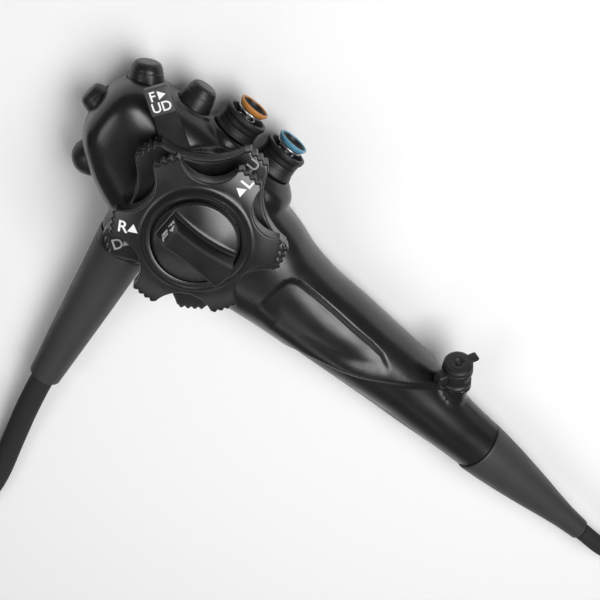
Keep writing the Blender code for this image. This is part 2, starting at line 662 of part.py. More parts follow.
def rl_lock_knob(finish):
    """A round knob whose two sides are scooped away to leave a tapered bar to turn it by."""
    edge = 0.8 * MM
    profile = [(0.0, KNOB_TOP), (LOCK_KNOB_RADIUS - 2.4 * MM, KNOB_TOP), (LOCK_KNOB_RADIUS - 1.0 * MM, KNOB_TOP - edge),
               (LOCK_KNOB_RADIUS - 0.5 * MM, KNOB_FLOOR), (LOCK_KNOB_RADIUS, KNOB_FLOOR - edge),
               (LOCK_KNOB_RADIUS, KNOB_BOTTOM), (POST_RADIUS + FIT, KNOB_BOTTOM),
               (POST_RADIUS + FIT, KNOB_FLOOR), (0.0, KNOB_FLOOR)]
    knob = turned("rl_lock_knob", profile, finish, steps=48)
    size = (3 * LOCK_KNOB_RADIUS, 2 * LOCK_KNOB_RADIUS, 2 * LOCK_BAR_HEIGHT)
    for side in (1, -1):
        offset = side * (LOCK_BAR_WIDTH / 2 + LOCK_KNOB_RADIUS)
        scoop = box("lock_scoop_%d" % (side + 1), size, (0, offset, KNOB_FLOOR + LOCK_BAR_HEIGHT),
                    angle=math.radians(-side * LOCK_BAR_TAPER), edge=LOCK_SCOOP_ROUND)
        combine(knob, scoop)
    end_centre = (LOCK_BAR_START - LOCK_KNOB_RADIUS, 0, KNOB_FLOOR + LOCK_BAR_HEIGHT)
    end_size = (2 * LOCK_KNOB_RADIUS, 3 * LOCK_KNOB_RADIUS, 2 * LOCK_BAR_HEIGHT)
    combine(knob, box("lock_end_cut", end_size, end_centre, edge=0.6 * MM))
    return knob


def ud_shaft(finish):
    top = UD_TOP
    profile = pipe_profile(UD_SHAFT_RADIUS, RL_SHAFT_RADIUS + FIT, UD_DRUM_BOTTOM, top)
    return turned("ud_shaft", profile, finish, steps=32)


def rl_shaft(finish):
    profile = pipe_profile(RL_SHAFT_RADIUS, POST_RADIUS + FIT, PLATE_TOP + 2 * FIT + 1.2 * MM, RL_TOP - 0.6 * MM)
    return turned("rl_shaft", profile, finish, steps=28)


def drum(name, bore, bottom, finish):
    """A spool with a waist where the pull chain lies."""
    lip = 0.9 * MM
    waist = DRUM_RADIUS - 1.6 * MM
    top = bottom + DRUM_WIDTH
    profile = [(bore, top), (DRUM_RADIUS, top), (DRUM_RADIUS, top - lip), (waist, top - lip - 0.4 * MM),
               (waist, bottom + lip + 0.4 * MM), (DRUM_RADIUS, bottom + lip), (DRUM_RADIUS, bottom), (bore, bottom)]
    return turned(name, profile, finish, steps=24)


def centre_post(finish):
    foot = PLATE_TOP + FIT
    profile = [(0.0, KNOB_FLOOR - FIT), (POST_RADIUS, KNOB_FLOOR - FIT), (POST_RADIUS, foot + 1.2 * MM),
               (RL_SHAFT_RADIUS + 1.5 * MM, foot + 1.2 * MM), (RL_SHAFT_RADIUS + 1.5 * MM, foot), (0.0, foot)]
    return turned("centre_post", profile, finish, steps=24)


def chassis_outline():
    """A wide pad under the shafts, with a strip that runs down the grip."""
    side, pad = FRAME_WIDTH / 2 + 0.8 * MM, FRAME_LENGTH / 2 + 6 * MM
    low, high = PLATE_SIDE - PLATE_WIDTH / 2, PLATE_SIDE + PLATE_WIDTH / 2
    return [(PLATE_START, -0.7 * side), (-pad, -side), (pad, -side), (pad + 8 * MM, low), (PLATE_END, low),
            (PLATE_END, high), (pad + 8 * MM, high), (0.74 * pad, side), (-pad, side), (PLATE_START, 0.5 * side)]


def chassis_plate(finish):
    return extruded("chassis_plate", chassis_outline(), PLATE_BOTTOM, PLATE_THICKNESS, finish)


def shaft_frame(finish):
    """A bridge over the drums: two legs on the plate and a deck with the shaft's hole."""
    top = DIAL_TOP + FIT - BEARING_LENGTH - FIT
    bottom = PLATE_TOP + FIT
    bore = UD_SHAFT_RADIUS + 2 * FIT
    deck_width = 2 * (bore + 1.2 * FRAME_THICKNESS)
    deck_size = (FRAME_LENGTH, deck_width, FRAME_THICKNESS)
    frame = box("shaft_frame", deck_size, (0, 0, top - FRAME_THICKNESS / 2), finish)
    height = top - 0.5 * FRAME_THICKNESS - bottom
    for side in (1, -1):
        centre = (side * (FRAME_LENGTH - FRAME_THICKNESS) / 2, 0, bottom + height / 2)
        leg = box("frame_leg_%d" % (side + 1), (0.9 * FRAME_THICKNESS, FRAME_WIDTH, height), centre)
        combine(frame, leg, "UNION")
    combine(frame, turned("frame_bore", rod_profile(bore, bottom, top + 1 * MM), steps=28))
    return frame


def valve(spec, metal, rubber, cap_finish, stem_finish):
    name, along, drop, boss_top, _, cap_lift = spec
    centre = (along, -drop, VALVE_HEIGHT)
    heading = (0, 1, 0)
    wall = VALVE_RADIUS
    floor = VALVE_FOOT + 2.0 * MM
    lip = boss_top + FIT
    cylinder = [(VALVE_BORE, VALVE_MOUTH), (wall, VALVE_MOUTH), (wall + 0.7 * MM, VALVE_MOUTH - 0.8 * MM),
                (BOSS_TOP_RADIUS - 0.8 * MM, lip), (wall, lip), (wall, VALVE_FOOT),
                (VALVE_BORE * 0.5, VALVE_FOOT), (VALVE_BORE * 0.5, floor), (VALVE_BORE, floor)]
    body = turned(name + "_cylinder", cylinder, metal, centre, heading, 24)
    rim_bottom = VALVE_MOUTH + FIT
    rim_top = VALVE_MOUTH + RIM_HEIGHT
    rim = [(RIM_BORE, rim_top - 0.8 * MM), (RIM_BORE + 0.6 * MM, rim_top), (RIM_RADIUS - 0.8 * MM, rim_top),
           (RIM_RADIUS, rim_top - 0.9 * MM), (RIM_RADIUS, rim_top - 2.6 * MM),
           (RIM_RADIUS - 1.0 * MM, rim_bottom + 0.6 * MM), (RIM_RADIUS - 1.2 * MM, rim_bottom),
           (RIM_BORE - 0.6 * MM, rim_bottom), (RIM_BORE - 0.6 * MM, rim_bottom + 0.8 * MM)]
    collar = turned(name + "_rim", rim, rubber, centre, heading, 24)
    cap_bottom = rim_top + cap_lift - 0.6 * MM
    cap_top = cap_bottom + CAP_THICKNESS
    cap = [(0.0, cap_top - 0.8 * MM), (CAP_RADIUS - 1.0 * MM, cap_top - 0.7 * MM), (CAP_RADIUS - 0.8 * MM, cap_top),
           (CAP_RADIUS, cap_top), (CAP_RADIUS - 0.5 * MM, cap_bottom), (0.0, cap_bottom)]
    button = turned(name + "_cap", cap, cap_finish, centre, heading, 24)
    disc_top = cap_bottom - FIT
    disc_bottom = disc_top - 0.9 * MM
    piston_top = VALVE_MOUTH - 4.0 * MM
    piston_bottom = floor + 5.5 * MM
    stem = [(0.0, disc_top), (CAP_RADIUS - 1.2 * MM, disc_top), (CAP_RADIUS - 1.2 * MM, disc_bottom),
            (STEM_RADIUS, disc_bottom), (STEM_RADIUS, piston_top), (VALVE_BORE - FIT, piston_top),
            (VALVE_BORE - FIT, piston_top - 2.2 * MM), (VALVE_BORE - 1.4 * MM, piston_top - 2.6 * MM),
            (VALVE_BORE - 1.4 * MM, piston_bottom + 2.2 * MM), (VALVE_BORE - FIT, piston_bottom + 1.8 * MM),
            (VALVE_BORE - FIT, piston_bottom), (0.0, piston_bottom)]
    piston = turned(name + "_piston", stem, stem_finish, centre, heading, 20)
    spring = coil_spring(name + "_spring", centre, piston_top + FIT, disc_bottom - FIT, stem_finish)
    carrier = pivot(name + "_slide", centre)
    carry(carrier, button, piston, spring)
    return body, collar


def coil_spring(name, centre, bottom, top, finish):
    """A wire wound round the stem, between the piston and the disc under the cap."""
    radius = STEM_RADIUS + 1.2 * MM
    per_turn = 8
    count = SPRING_TURNS * per_turn
    low, high = bottom + SPRING_WIRE, top - SPRING_WIRE
    curve = bpy.data.curves.new(name, "CURVE")
    curve.dimensions = "3D"
    curve.bevel_depth = SPRING_WIRE
    curve.bevel_resolution = 0
    curve.use_fill_caps = True
    spline = curve.splines.new("POLY")
    spline.points.add(count)
    for index, point in enumerate(spline.points):
        angle = 2.0 * math.pi * index / per_turn
        height = low + (high - low) * index / count
        point.co = (radius * math.cos(angle), radius * math.sin(angle), height, 1.0)
    item = bpy.data.objects.new(name, curve)
    collection(COLLECTION).objects.link(item)
    curve.materials.append(finish)
    item.matrix_world = heading_matrix(centre, (0, 1, 0))
    return item


def remote_switch(name, spec, finish):
    """A rubber button: a skirt inside its seat, a waist groove and a domed top."""
    along, side, heading, radius, height = spec
    shoulder = height * 0.62
    profile = [(0.0, height), (radius * 0.5, height - 0.03 * height), (radius * 0.76, height * 0.93),
               (radius * 0.88, height * 0.82), (radius * 0.93, shoulder), (radius, 1.3 * MM),
               (radius, -SWITCH_SEAT), (0.0, -SWITCH_SEAT)]
    centre = Vector((along, side, SWITCH_HEIGHT))
    cap = turned(name, profile, finish, centre, compass(heading), 20)
    carry(pivot(name + "_slide", centre), cap)
    return cap


def thumb_switch(name, spec, finish):
    """The ball-shaped button under the thumb."""
    along, side, heading, radius, height = spec
    count = 6
    profile = [(0.0, height)]
    for index in range(1, count):
        angle = math.radians(90.0 * index / count)
        profile.append((radius * math.sin(angle), height * (1.0 - (1.0 - math.cos(angle)) ** 1.15)))
    profile += [(radius, 0.6 * MM), (radius, -SWITCH_SEAT), (0.0, -SWITCH_SEAT)]
    centre = Vector((along, side, SWITCH_HEIGHT))
    cap = turned(name, profile, finish, centre, compass(heading), 24)
    carry(pivot(name + "_slide", centre), cap)
    return cap


def port_pieces(metal, rubber):
    """The channel inlet, the rubber valve pressed on it and the lid that swings open."""
    lid_bottom = -PORT_LID_THICKNESS
    valve_top = lid_bottom - FIT
    valve_bottom = valve_top - PORT_VALVE_HEIGHT + FIT
    inlet_bottom = valve_bottom - PORT_BOSS_LENGTH * 0.7
    inlet = [(PORT_TUBE_RADIUS, valve_top - 3.0 * MM), (PORT_BORE, valve_top - 3.0 * MM),
             (PORT_BORE, inlet_bottom), (PORT_TUBE_RADIUS, inlet_bottom)]
    turned("channel_inlet", inlet, metal, PORT_FACE, PORT_HEADING, 20)
    waist = PORT_VALVE_RADIUS - 0.9 * MM
    body = [(CHANNEL_BORE, valve_top), (PORT_VALVE_RADIUS - 0.7 * MM, valve_top),
            (PORT_VALVE_RADIUS, valve_top - 0.8 * MM), (PORT_VALVE_RADIUS, valve_top - 2.6 * MM),
            (waist, valve_top - 3.6 * MM), (waist, valve_bottom + 2.6 * MM),
            (PORT_VALVE_RADIUS, valve_bottom + 1.8 * MM), (PORT_VALVE_RADIUS, valve_bottom),
            (PORT_BORE + FIT, valve_bottom), (PORT_BORE + FIT, valve_top - 2.6 * MM),
            (CHANNEL_BORE, valve_top - 2.6 * MM)]
    valve_body = turned("biopsy_valve", body, rubber, PORT_FACE, PORT_HEADING, 24)
    lug_height = 0.58 * PORT_VALVE_HEIGHT
    lug = box("valve_lug", (PORT_LUG, 0.8 * PORT_VALVE_RADIUS, lug_height), (0, 0, 0), edge=1.2 * MM)
    lug.matrix_world = port_frame(-PORT_VALVE_RADIUS - 0.2 * PORT_LUG, valve_top - 0.6 * MM - lug_height / 2)
    combine(valve_body, lug, "UNION")
    lid = [(0.0, -0.5 * MM), (1.9 * MM, -0.5 * MM), (2.3 * MM, 0.0), (PORT_LID_RADIUS - 0.7 * MM, 0.0),
           (PORT_LID_RADIUS, -0.7 * MM), (PORT_LID_RADIUS, lid_bottom), (0.0, lid_bottom)]
    cap = turned("biopsy_lid", lid, rubber, PORT_FACE, PORT_HEADING, 28)
    lid_tab = box("lid_tab", (6.0 * MM, 4.2 * MM, PORT_LID_THICKNESS * 0.9), (0, 0, 0), edge=0.6 * MM)
    lid_tab.matrix_world = port_frame(PORT_LID_RADIUS, lid_bottom / 2)
    combine(cap, lid_tab, "UNION")
    carry(pivot("biopsy_lid_hinge", port_hinge()), cap)


def port_side():
    """Across the port's axis, to the side of the lid where its tab is."""
    heading = Vector(PORT_HEADING).normalized()
    tab = Vector(PORT_TAB_HEADING)
    return (tab - heading * heading.dot(tab)).normalized()


def port_frame(out, up):
    heading = Vector(PORT_HEADING).normalized()
    side = port_side()
    across = heading.cross(side)
    turn = Matrix((side, across, heading)).transposed().to_4x4()
    return Matrix.Translation(port_point(up) + side * out) @ turn


def port_hinge():
    return port_point(-PORT_LID_THICKNESS) - port_side() * (PORT_LID_RADIUS + 0.4 * MM)


def insertion_axis():
    start = Vector((GRIP_END + FIT, NECK_SIDE, AXIS_HEIGHT))
    end = start + Vector((BOOT_LENGTH, BOOT_DRIFT, BOOT_DROP))
    return start, end


def insertion_boot(finish):
    start, end = insertion_axis()
    length = (end - start).length
    root, tip = NECK_RADIUS - 0.1 * MM, BOOT_TIP_RADIUS
    profile = [(0.0, length), (tip - 0.6 * MM, length), (tip, length - 0.8 * MM)]
    for share, swell in ((0.85, 0.09), (0.72, 0.24), (0.58, 0.43), (0.44, 0.61), (0.3, 0.77), (0.15, 0.91)):
        profile.append((tip + (root - tip) * swell, length * share))
    socket = SLEEVE_RADIUS + FIT
    profile += [(root, 1.5 * MM), (root - 0.2 * MM, 0.0), (socket, 0.0), (socket, SLEEVE_DEPTH), (0.0, SLEEVE_DEPTH)]
    return turned("insertion_boot", profile, finish, start, end - start, 26)


def end_sleeve(finish):
    """The threaded sleeve that joins the grip, the boot and the tube."""
    start, end = insertion_axis()
    profile = pipe_profile(SLEEVE_RADIUS, SLEEVE_RADIUS - 1.6 * MM, -6.0 * MM, SLEEVE_DEPTH - FIT)
    return turned("end_sleeve", profile, finish, start, end - start, 24)


def cord_boot_pieces(metal, rubber):
    root, tip = Vector(CORD_BOOT_ROOT), Vector(CORD_BOOT_TIP)
    heading = cord_heading()
    nut_start = FIT
    nut_end = nut_start + CORD_NUT_LENGTH
    edge = 0.5 * MM
    nut = [(SLEEVE_RADIUS + FIT, nut_end), (CORD_NUT_RADIUS - edge, nut_end), (CORD_NUT_RADIUS, nut_end - edge),
           (CORD_NUT_RADIUS, nut_start + edge), (CORD_NUT_RADIUS - edge, nut_start), (SLEEVE_RADIUS + FIT, nut_start)]
    turned("cord_nut", nut, metal, root, heading, 26)
    sleeve = pipe_profile(SLEEVE_RADIUS, SLEEVE_RADIUS - 1.6 * MM, -11.0 * MM, nut_end + 8.0 * MM)
    turned("cord_sleeve", sleeve, metal, root, heading, 24)
    start = nut_end + FIT
    length = (tip - root).length
    wide, thin = CORD_BOOT_RADIUS, CORD_BOOT_TIP_RADIUS
    profile = [(0.0, length), (thin - 0.8 * MM, length), (thin, length - 1.0 * MM)]
    for share, swell in ((0.8, 0.22), (0.6, 0.45), (0.4, 0.67), (0.2, 0.86)):
        profile.append((thin + (wide - thin) * swell, start + (length - start) * share))
    socket = SLEEVE_RADIUS + FIT
    bottom = nut_end + 8.0 * MM + FIT
    profile += [(wide, start + 1.0 * MM), (wide - 0.3 * MM, start), (socket, start), (socket, bottom), (0.0, bottom)]
    turned("cord_boot", profile, rubber, root, heading, 26)


def smooth_route(points, spacing):
    """Read a smooth curve through the route's points, a little under one spacing apart."""
    knots = [Vector(point) for point in points]
    knots = [2 * knots[0] - knots[1]] + knots + [2 * knots[-1] - knots[-2]]
    dense = []
    for index in range(1, len(knots) - 2):
        before, first, second, after = knots[index - 1:index + 3]
        for step in range(12):
            t = step / 12
            dense.append(0.5 * ((2 * first) + (second - before) * t
                                + (2 * before - 5 * first + 4 * second - after) * t * t
                                + (3 * first - before - 3 * second + after) * t ** 3))
    dense.append(knots[-2])
    reach = [0.0]
    for first, second in zip(dense, dense[1:]):
        reach.append(reach[-1] + (second - first).length)
    count = max(4, math.ceil(reach[-1] / spacing))
    picked = []
    index = 0
    for step in range(count + 1):
        target = reach[-1] * step / count
        while index < len(reach) - 2 and reach[index + 1] < target:
            index += 1
        share = (target - reach[index]) / max(reach[index + 1] - reach[index], 1e-9)
        picked.append(dense[index].lerp(dense[index + 1], share))
    return picked


def cord_tube(name, points, diameter, finish):
    curve = bpy.data.curves.new(name, "CURVE")
    curve.dimensions = "3D"
    curve.bevel_depth = diameter / 2
    curve.bevel_resolution = 3
    curve.use_fill_caps = True
    picked = smooth_route(points, 2.0 * diameter)
    spline = curve.splines.new("POLY")
    spline.points.add(len(picked) - 1)
    for point, place_at in zip(spline.points, picked):
        point.co = (*place_at, 1.0)
    item = bpy.data.objects.new(name, curve)
    collection(COLLECTION).objects.link(item)
    curve.materials.append(finish)
    return item


def coil_solid(name, centre, middle, diameter, finish):
    """The outer shape of turns that lie two wide and two high."""
    inner, outer = middle - diameter, middle + diameter
    corner = diameter * 0.3
    high = 2 * diameter
    profile = [(inner + corner, high), (outer - corner, high), (outer, high - corner), (outer, corner),
               (outer - corner, 0.0), (inner + corner, 0.0), (inner, corner), (inner, high - corner)]
    return turned(name, profile, finish, (*centre, 0.0), (0, 0, 1), 36)


# Uncoiled stretches of the two cords, from the boot to the coil and from the coil to the end
TUBE_RUN = ((238.1, -20.03, 16.97), (245.0, -20.5, 16.6), (252.0, -21.4, 15.0), (258.5, -22.2, 12.2),
            (265.0, -23.1, 8.8), (271.0, -24.0, 6.1), (276.5, -24.9, 4.7), (281.5, -25.8, 4.15),
            (286.4, -26.9, 4.1))
TUBE_TAIL = ((273.0, 60.0, 4.6), (269.7, 60.0, 4.6), (266.4, 60.0, 4.6), (263.15, 60.0, 4.6))
CORD_RUN = ((2.08, -110.9, 12.97), (3.0, -116.5, 12.6), (4.7, -124.0, 11.6), (7.1, -133.5, 9.6),
            (9.8, -143.0, 7.4), (12.6, -152.8, 5.8), (15.4, -162.4, 5.1), (17.65, -171.35, 5.1),
            (18.9, -181.2, 5.1), (18.2, -191.1, 5.1), (15.5, -200.7, 5.1), (10.9, -209.6, 5.1),
            (4.6, -217.3, 5.1), (-3.1, -223.6, 5.1), (-5.9, -225.35, 5.1))
CORD_TAIL = ((-109.1, -148.7, 16.7), (-109.05, -144.5, 17.7), (-109.0, -140.2, 18.5), (-109.0, -136.0, 18.9),
             (-109.0, -131.8, 19.0))


def in_metres(points):
    return [Vector(point) * MM for point in points]


def cord_pieces(rubber, soft_rubber):
    cord_tube("insertion_tube", in_metres(TUBE_RUN), TUBE_DIAMETER, rubber)
    coil_solid("insertion_tube_coil", TUBE_COIL_CENTRE, TUBE_COIL_MIDDLE, TUBE_DIAMETER, rubber)
    cord_tube("insertion_tube_end", in_metres(TUBE_TAIL), TUBE_DIAMETER, rubber)
    cord_tube("light_guide_cord", in_metres(CORD_RUN), CORD_DIAMETER, soft_rubber)
    coil_solid("light_guide_cord_coil", CORD_COIL_CENTRE, CORD_COIL_MIDDLE, CORD_DIAMETER, soft_rubber)
    cord_tube("light_guide_cord_end", in_metres(CORD_TAIL), CORD_DIAMETER, soft_rubber)


def pivot_place(index):
    """Pivots of the bending section, counted from 1 at its base, run in -X."""
    side = TUBE_COIL_CENTRE[1] + TUBE_COIL_MIDDLE + TUBE_DIAMETER / 2
    along = BEND_START - BEND_BASE_LENGTH - (index - 1) * BEND_PITCH
    return Vector((along, side, BEND_RADIUS + FIT))


def link_ring(centre, direction, radius, hinge):
    """One edge of a link. Where it meets a hinge it slopes away from the pivot line."""
    slope = math.tan(math.radians(ROOF_ANGLE))
    count = 16
    ring = []
    for index in range(count):
        angle = 2.0 * math.pi * index / count
        side, up = radius * math.cos(angle), radius * math.sin(angle)
        lean = {"upright": abs(side), "level": abs(up), "flat": 0.0}[hinge] * slope
        ring.append(centre + Vector((direction * (FIT / 2 + lean), side, up)))
    return ring


def bend_link(name, start, start_hinge, end, end_hinge, finish):
    """A short ring, from one pivot to the next, with a roof-shaped edge at each."""
    rings = [link_ring(start, -1, BEND_RADIUS, start_hinge), link_ring(end, 1, BEND_RADIUS, end_hinge),
             link_ring(end, 1, BEND_BORE, end_hinge), link_ring(start, -1, BEND_BORE, start_hinge)]
    return ring_loft(name, rings, finish, looped=True)


def hinge_kind(index):
    return "level" if index in SIDEWAYS_PIVOTS else "upright"


def bending_section(rubber, metal, glass):
    base_start = pivot_place(1) + Vector((BEND_BASE_LENGTH, 0, 0))
    bend_link("bend_base", base_start, "flat", pivot_place(1), hinge_kind(1), metal)
    parent = None
    for index in range(1, BEND_LINKS + 1):
        start, end = pivot_place(index), pivot_place(index + 1)
        after = "flat" if index == BEND_LINKS else hinge_kind(index + 1)
        link = bend_link("bend_link_%d" % index, start, hinge_kind(index), end, after, rubber)
        parent = pivot("bend_pivot_%d" % index, start, parent)
        carry(parent, link)
    start = pivot_place(BEND_LINKS + 1)
    edge = 0.8 * MM
    face = TIP_LENGTH
    tip_profile = [(0.0, face), (TIP_RADIUS - edge, face), (TIP_RADIUS, face - edge), (TIP_RADIUS, 3.0 * MM),
                   (BEND_RADIUS, 2.0 * MM), (BEND_RADIUS, FIT / 2), (0.0, FIT / 2)]
    tip = turned("distal_tip", tip_profile, metal, start, (-1, 0, 0), 24)
    pocket = 1.4 * MM
    lens_places = (("objective_lens", 1.6 * MM, 0.9 * MM, 1.2 * MM), ("light_lens", 1.2 * MM, -2.4 * MM, 0.8 * MM))
    lenses = []
    for name, up, side, radius in lens_places:
        centre = start + Vector((-face, side, up))
        combine(tip, turned(name + "_pocket", rod_profile(radius + FIT, -pocket, pocket), centre=centre,
                            heading=(-1, 0, 0), steps=14))
        profile = [(0.0, 0.0), (radius * 0.7, -0.05 * MM), (radius, -0.3 * MM), (radius, -pocket + FIT),
                   (0.0, -pocket + FIT)]
        lenses.append(turned(name, profile, glass, centre, (-1, 0, 0), 14))
    channel = turned("tip_channel", rod_profile(CHANNEL_BORE, -8.0 * MM, 2.0 * MM), steps=14,
                     centre=start + Vector((-face, -0.4 * MM, -2.2 * MM)), heading=(-1, 0, 0))
    combine(tip, channel)
    carry(parent, tip, *lenses)


def connector_pieces(shell, rubber, metal, cap):
    """The plug for the light source: boot, body, light guide rod, air pipe and side socket."""
    along, side = CONNECTOR_START
    start = Vector((along, side, CONNECTOR_RADIUS))
    heading = (0, 1, 0)
    cord = CORD_DIAMETER / 2
    boot = CONNECTOR_BOOT_LENGTH
    boot_profile = [(0.0, boot), (12.0 * MM, boot), (12.0 * MM, boot - 4.0 * MM), (9.0 * MM, boot - 10.0 * MM),
                    (cord + 2.0 * MM, 2.0 * MM), (cord + 1.6 * MM, 0.0), (0.0, 0.0)]
    turned("connector_boot", boot_profile, rubber, start, heading, 28)
    bottom = boot + FIT
    top = bottom + CONNECTOR_LENGTH
    wide = CONNECTOR_RADIUS
    body = [(0.0, top), (wide - 5.0 * MM, top), (wide - 4.0 * MM, top - 1.0 * MM), (wide - 4.0 * MM, top - 12.0 * MM),
            (wide, top - 14.0 * MM), (wide, bottom + 14.0 * MM), (wide - 5.0 * MM, bottom + 1.0 * MM),
            (wide - 6.0 * MM, bottom), (0.0, bottom)]
    turned("connector_body", body, shell, start, heading, 32)
    rod_bottom = top + FIT
    rod = [(0.0, rod_bottom + GUIDE_ROD_LENGTH), (GUIDE_ROD_RADIUS - 0.6 * MM, rod_bottom + GUIDE_ROD_LENGTH),
           (GUIDE_ROD_RADIUS, rod_bottom + GUIDE_ROD_LENGTH - 0.6 * MM), (GUIDE_ROD_RADIUS, rod_bottom + 3.0 * MM),
           (GUIDE_ROD_RADIUS + 2.0 * MM, rod_bottom + 2.0 * MM), (GUIDE_ROD_RADIUS + 2.0 * MM, rod_bottom),
           (0.0, rod_bottom)]
    turned("light_guide_rod", rod, metal, start, heading, 24)
    pipe = [(0.0, rod_bottom + 14.0 * MM), (1.6 * MM, rod_bottom + 14.0 * MM), (1.6 * MM, rod_bottom), (0.0, rod_bottom)]
    turned("air_pipe", pipe, metal, start + Vector((9.8 * MM, 0, 4.0 * MM)), heading, 14)
    socket_centre = start + Vector((wide + FIT, bottom + 30.0 * MM, 0))
    socket = [(0.0, 7.0 * MM), (7.2 * MM, 7.0 * MM), (8.0 * MM, 6.2 * MM), (8.0 * MM, 0.0), (0.0, 0.0)]
    turned("signal_socket", socket, cap, socket_centre, (1, 0, 0), 24)


def build():
    clear_scene()
    gloss = material("black_moulding", (0.012, 0.012, 0.014), 0.22)
    rubber = material("black_rubber", (0.014, 0.014, 0.015), 0.55)
    grey_rubber = material("grey_boot_rubber", (0.045, 0.045, 0.047), 0.6)
    tube_skin = material("tube_skin", (0.016, 0.016, 0.017), 0.4)
    steel = material("steel", (0.55, 0.55, 0.56), 0.25, 1.0)
    alloy = material("frame_alloy", (0.5, 0.5, 0.52), 0.4, 1.0)
    dark_metal = material("dark_metal", (0.05, 0.05, 0.055), 0.3, 0.9)
    orange = material("orange_cap", (0.76, 0.33, 0.08), 0.35)
    blue = material("blue_cap", (0.20, 0.50, 0.72), 0.35)
    glass = material("lens_glass", (0.6, 0.65, 0.7), 0.05)

    head_cover(gloss)
    grip_cover(gloss)
    bearing_flange(dark_metal)
    chassis_plate(alloy)
    shaft_frame(alloy)
    centre_post(steel)

    carry(pivot("ud_lock_axis", (0, 0, FLANGE_TOP)), ud_lock_lever(gloss))
    carry(pivot("ud_axis", (0, 0, UD_BOTTOM)), ud_wheel(gloss), ud_shaft(steel),
          drum("ud_drum", UD_SHAFT_RADIUS + FIT, UD_DRUM_BOTTOM, alloy))
    carry(pivot("rl_axis", (0, 0, RL_BOTTOM)), rl_wheel(gloss), rl_shaft(steel),
          drum("rl_drum", RL_SHAFT_RADIUS + FIT, RL_DRUM_BOTTOM, alloy))
    carry(pivot("rl_lock_axis", (0, 0, KNOB_BOTTOM)), rl_lock_knob(gloss))

    valve(SUCTION_VALVE, dark_metal, rubber, orange, steel)
    valve(AIR_VALVE, dark_metal, rubber, blue, steel)
    remote_switch("front_switch", FRONT_SWITCH, rubber)
    remote_switch("corner_switch", CORNER_SWITCH, rubber)
    remote_switch("end_switch", END_SWITCH, rubber)
    thumb_switch("thumb_switch", THUMB_SWITCH, rubber)
    port_pieces(steel, rubber)

    end_sleeve(alloy)
    insertion_boot(grey_rubber)
    cord_boot_pieces(dark_metal, grey_rubber)
    cord_pieces(tube_skin, tube_skin)
    bending_section(rubber, dark_metal, glass)
    connector_pieces(gloss, rubber, steel, rubber)


build()
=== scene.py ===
"""Looks of a flexible endoscope's control section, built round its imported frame.

Everything is in the frame's own axes: +Z up the knob axis, +X along the grip to the insertion
tube, +Y to the two valves. Places are in metres; profiles, boxes and rods are given in mm.
Each operator makes one group of pieces.
"""

import json
import math

import bmesh
import bpy
from bpy.props import FloatProperty, FloatVectorProperty, IntProperty, PointerProperty
from mathutils import Matrix, Vector
from mathutils.bvhtree import BVHTree

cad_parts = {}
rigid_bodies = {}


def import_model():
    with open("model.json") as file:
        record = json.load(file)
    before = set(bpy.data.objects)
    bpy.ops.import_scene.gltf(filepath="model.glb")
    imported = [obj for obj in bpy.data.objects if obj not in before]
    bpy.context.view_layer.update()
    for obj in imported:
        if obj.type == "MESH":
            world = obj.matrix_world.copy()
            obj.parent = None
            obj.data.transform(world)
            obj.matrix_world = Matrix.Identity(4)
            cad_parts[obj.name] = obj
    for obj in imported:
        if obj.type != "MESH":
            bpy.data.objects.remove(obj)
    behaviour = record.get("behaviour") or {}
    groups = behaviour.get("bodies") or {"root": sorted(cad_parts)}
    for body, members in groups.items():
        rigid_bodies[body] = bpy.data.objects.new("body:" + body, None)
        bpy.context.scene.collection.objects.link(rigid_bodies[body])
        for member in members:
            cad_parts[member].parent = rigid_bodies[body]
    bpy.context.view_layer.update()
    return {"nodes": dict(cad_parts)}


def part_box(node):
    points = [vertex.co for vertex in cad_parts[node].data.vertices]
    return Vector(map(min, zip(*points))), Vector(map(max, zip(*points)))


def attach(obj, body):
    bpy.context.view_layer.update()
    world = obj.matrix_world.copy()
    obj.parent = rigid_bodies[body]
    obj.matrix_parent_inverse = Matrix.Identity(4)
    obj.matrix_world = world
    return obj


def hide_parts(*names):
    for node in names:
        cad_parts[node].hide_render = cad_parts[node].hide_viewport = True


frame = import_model()

bl_info = {
    "name": "Flexible Endoscope",
    "version": (1, 0, 0),
    "blender": (4, 5, 0),
    "location": "View3D > Sidebar > Endoscope",
    "description": "Builds the control section, cords and connector of a flexible endoscope",
    "category": "Add Mesh",
}

MM = 0.001
HOUSING = "housing"
FIT = 0.3
UP = Vector((0.0, 0.0, 1.0))

# Knob stack, from the frame's own pieces
UD_LOW, UD_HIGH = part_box("ud_wheel")
RL_LOW, RL_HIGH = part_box("rl_wheel")
KNOB_LOW, KNOB_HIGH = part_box("rl_lock_knob")
LEVER_LOW, LEVER_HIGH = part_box("ud_lock_lever")
UD_TOP = UD_HIGH.z - 4.3 * MM
RL_TOP = RL_HIGH.z - 1.9 * MM
KNOB_FLOOR = KNOB_LOW.z + 3.0 * MM
HUB_RADIUS = 17.0 * MM
UD_BORE = 8.3 * MM
RL_BORE = 5.3 * MM
LEVER_ANGLE = math.radians(145.4)

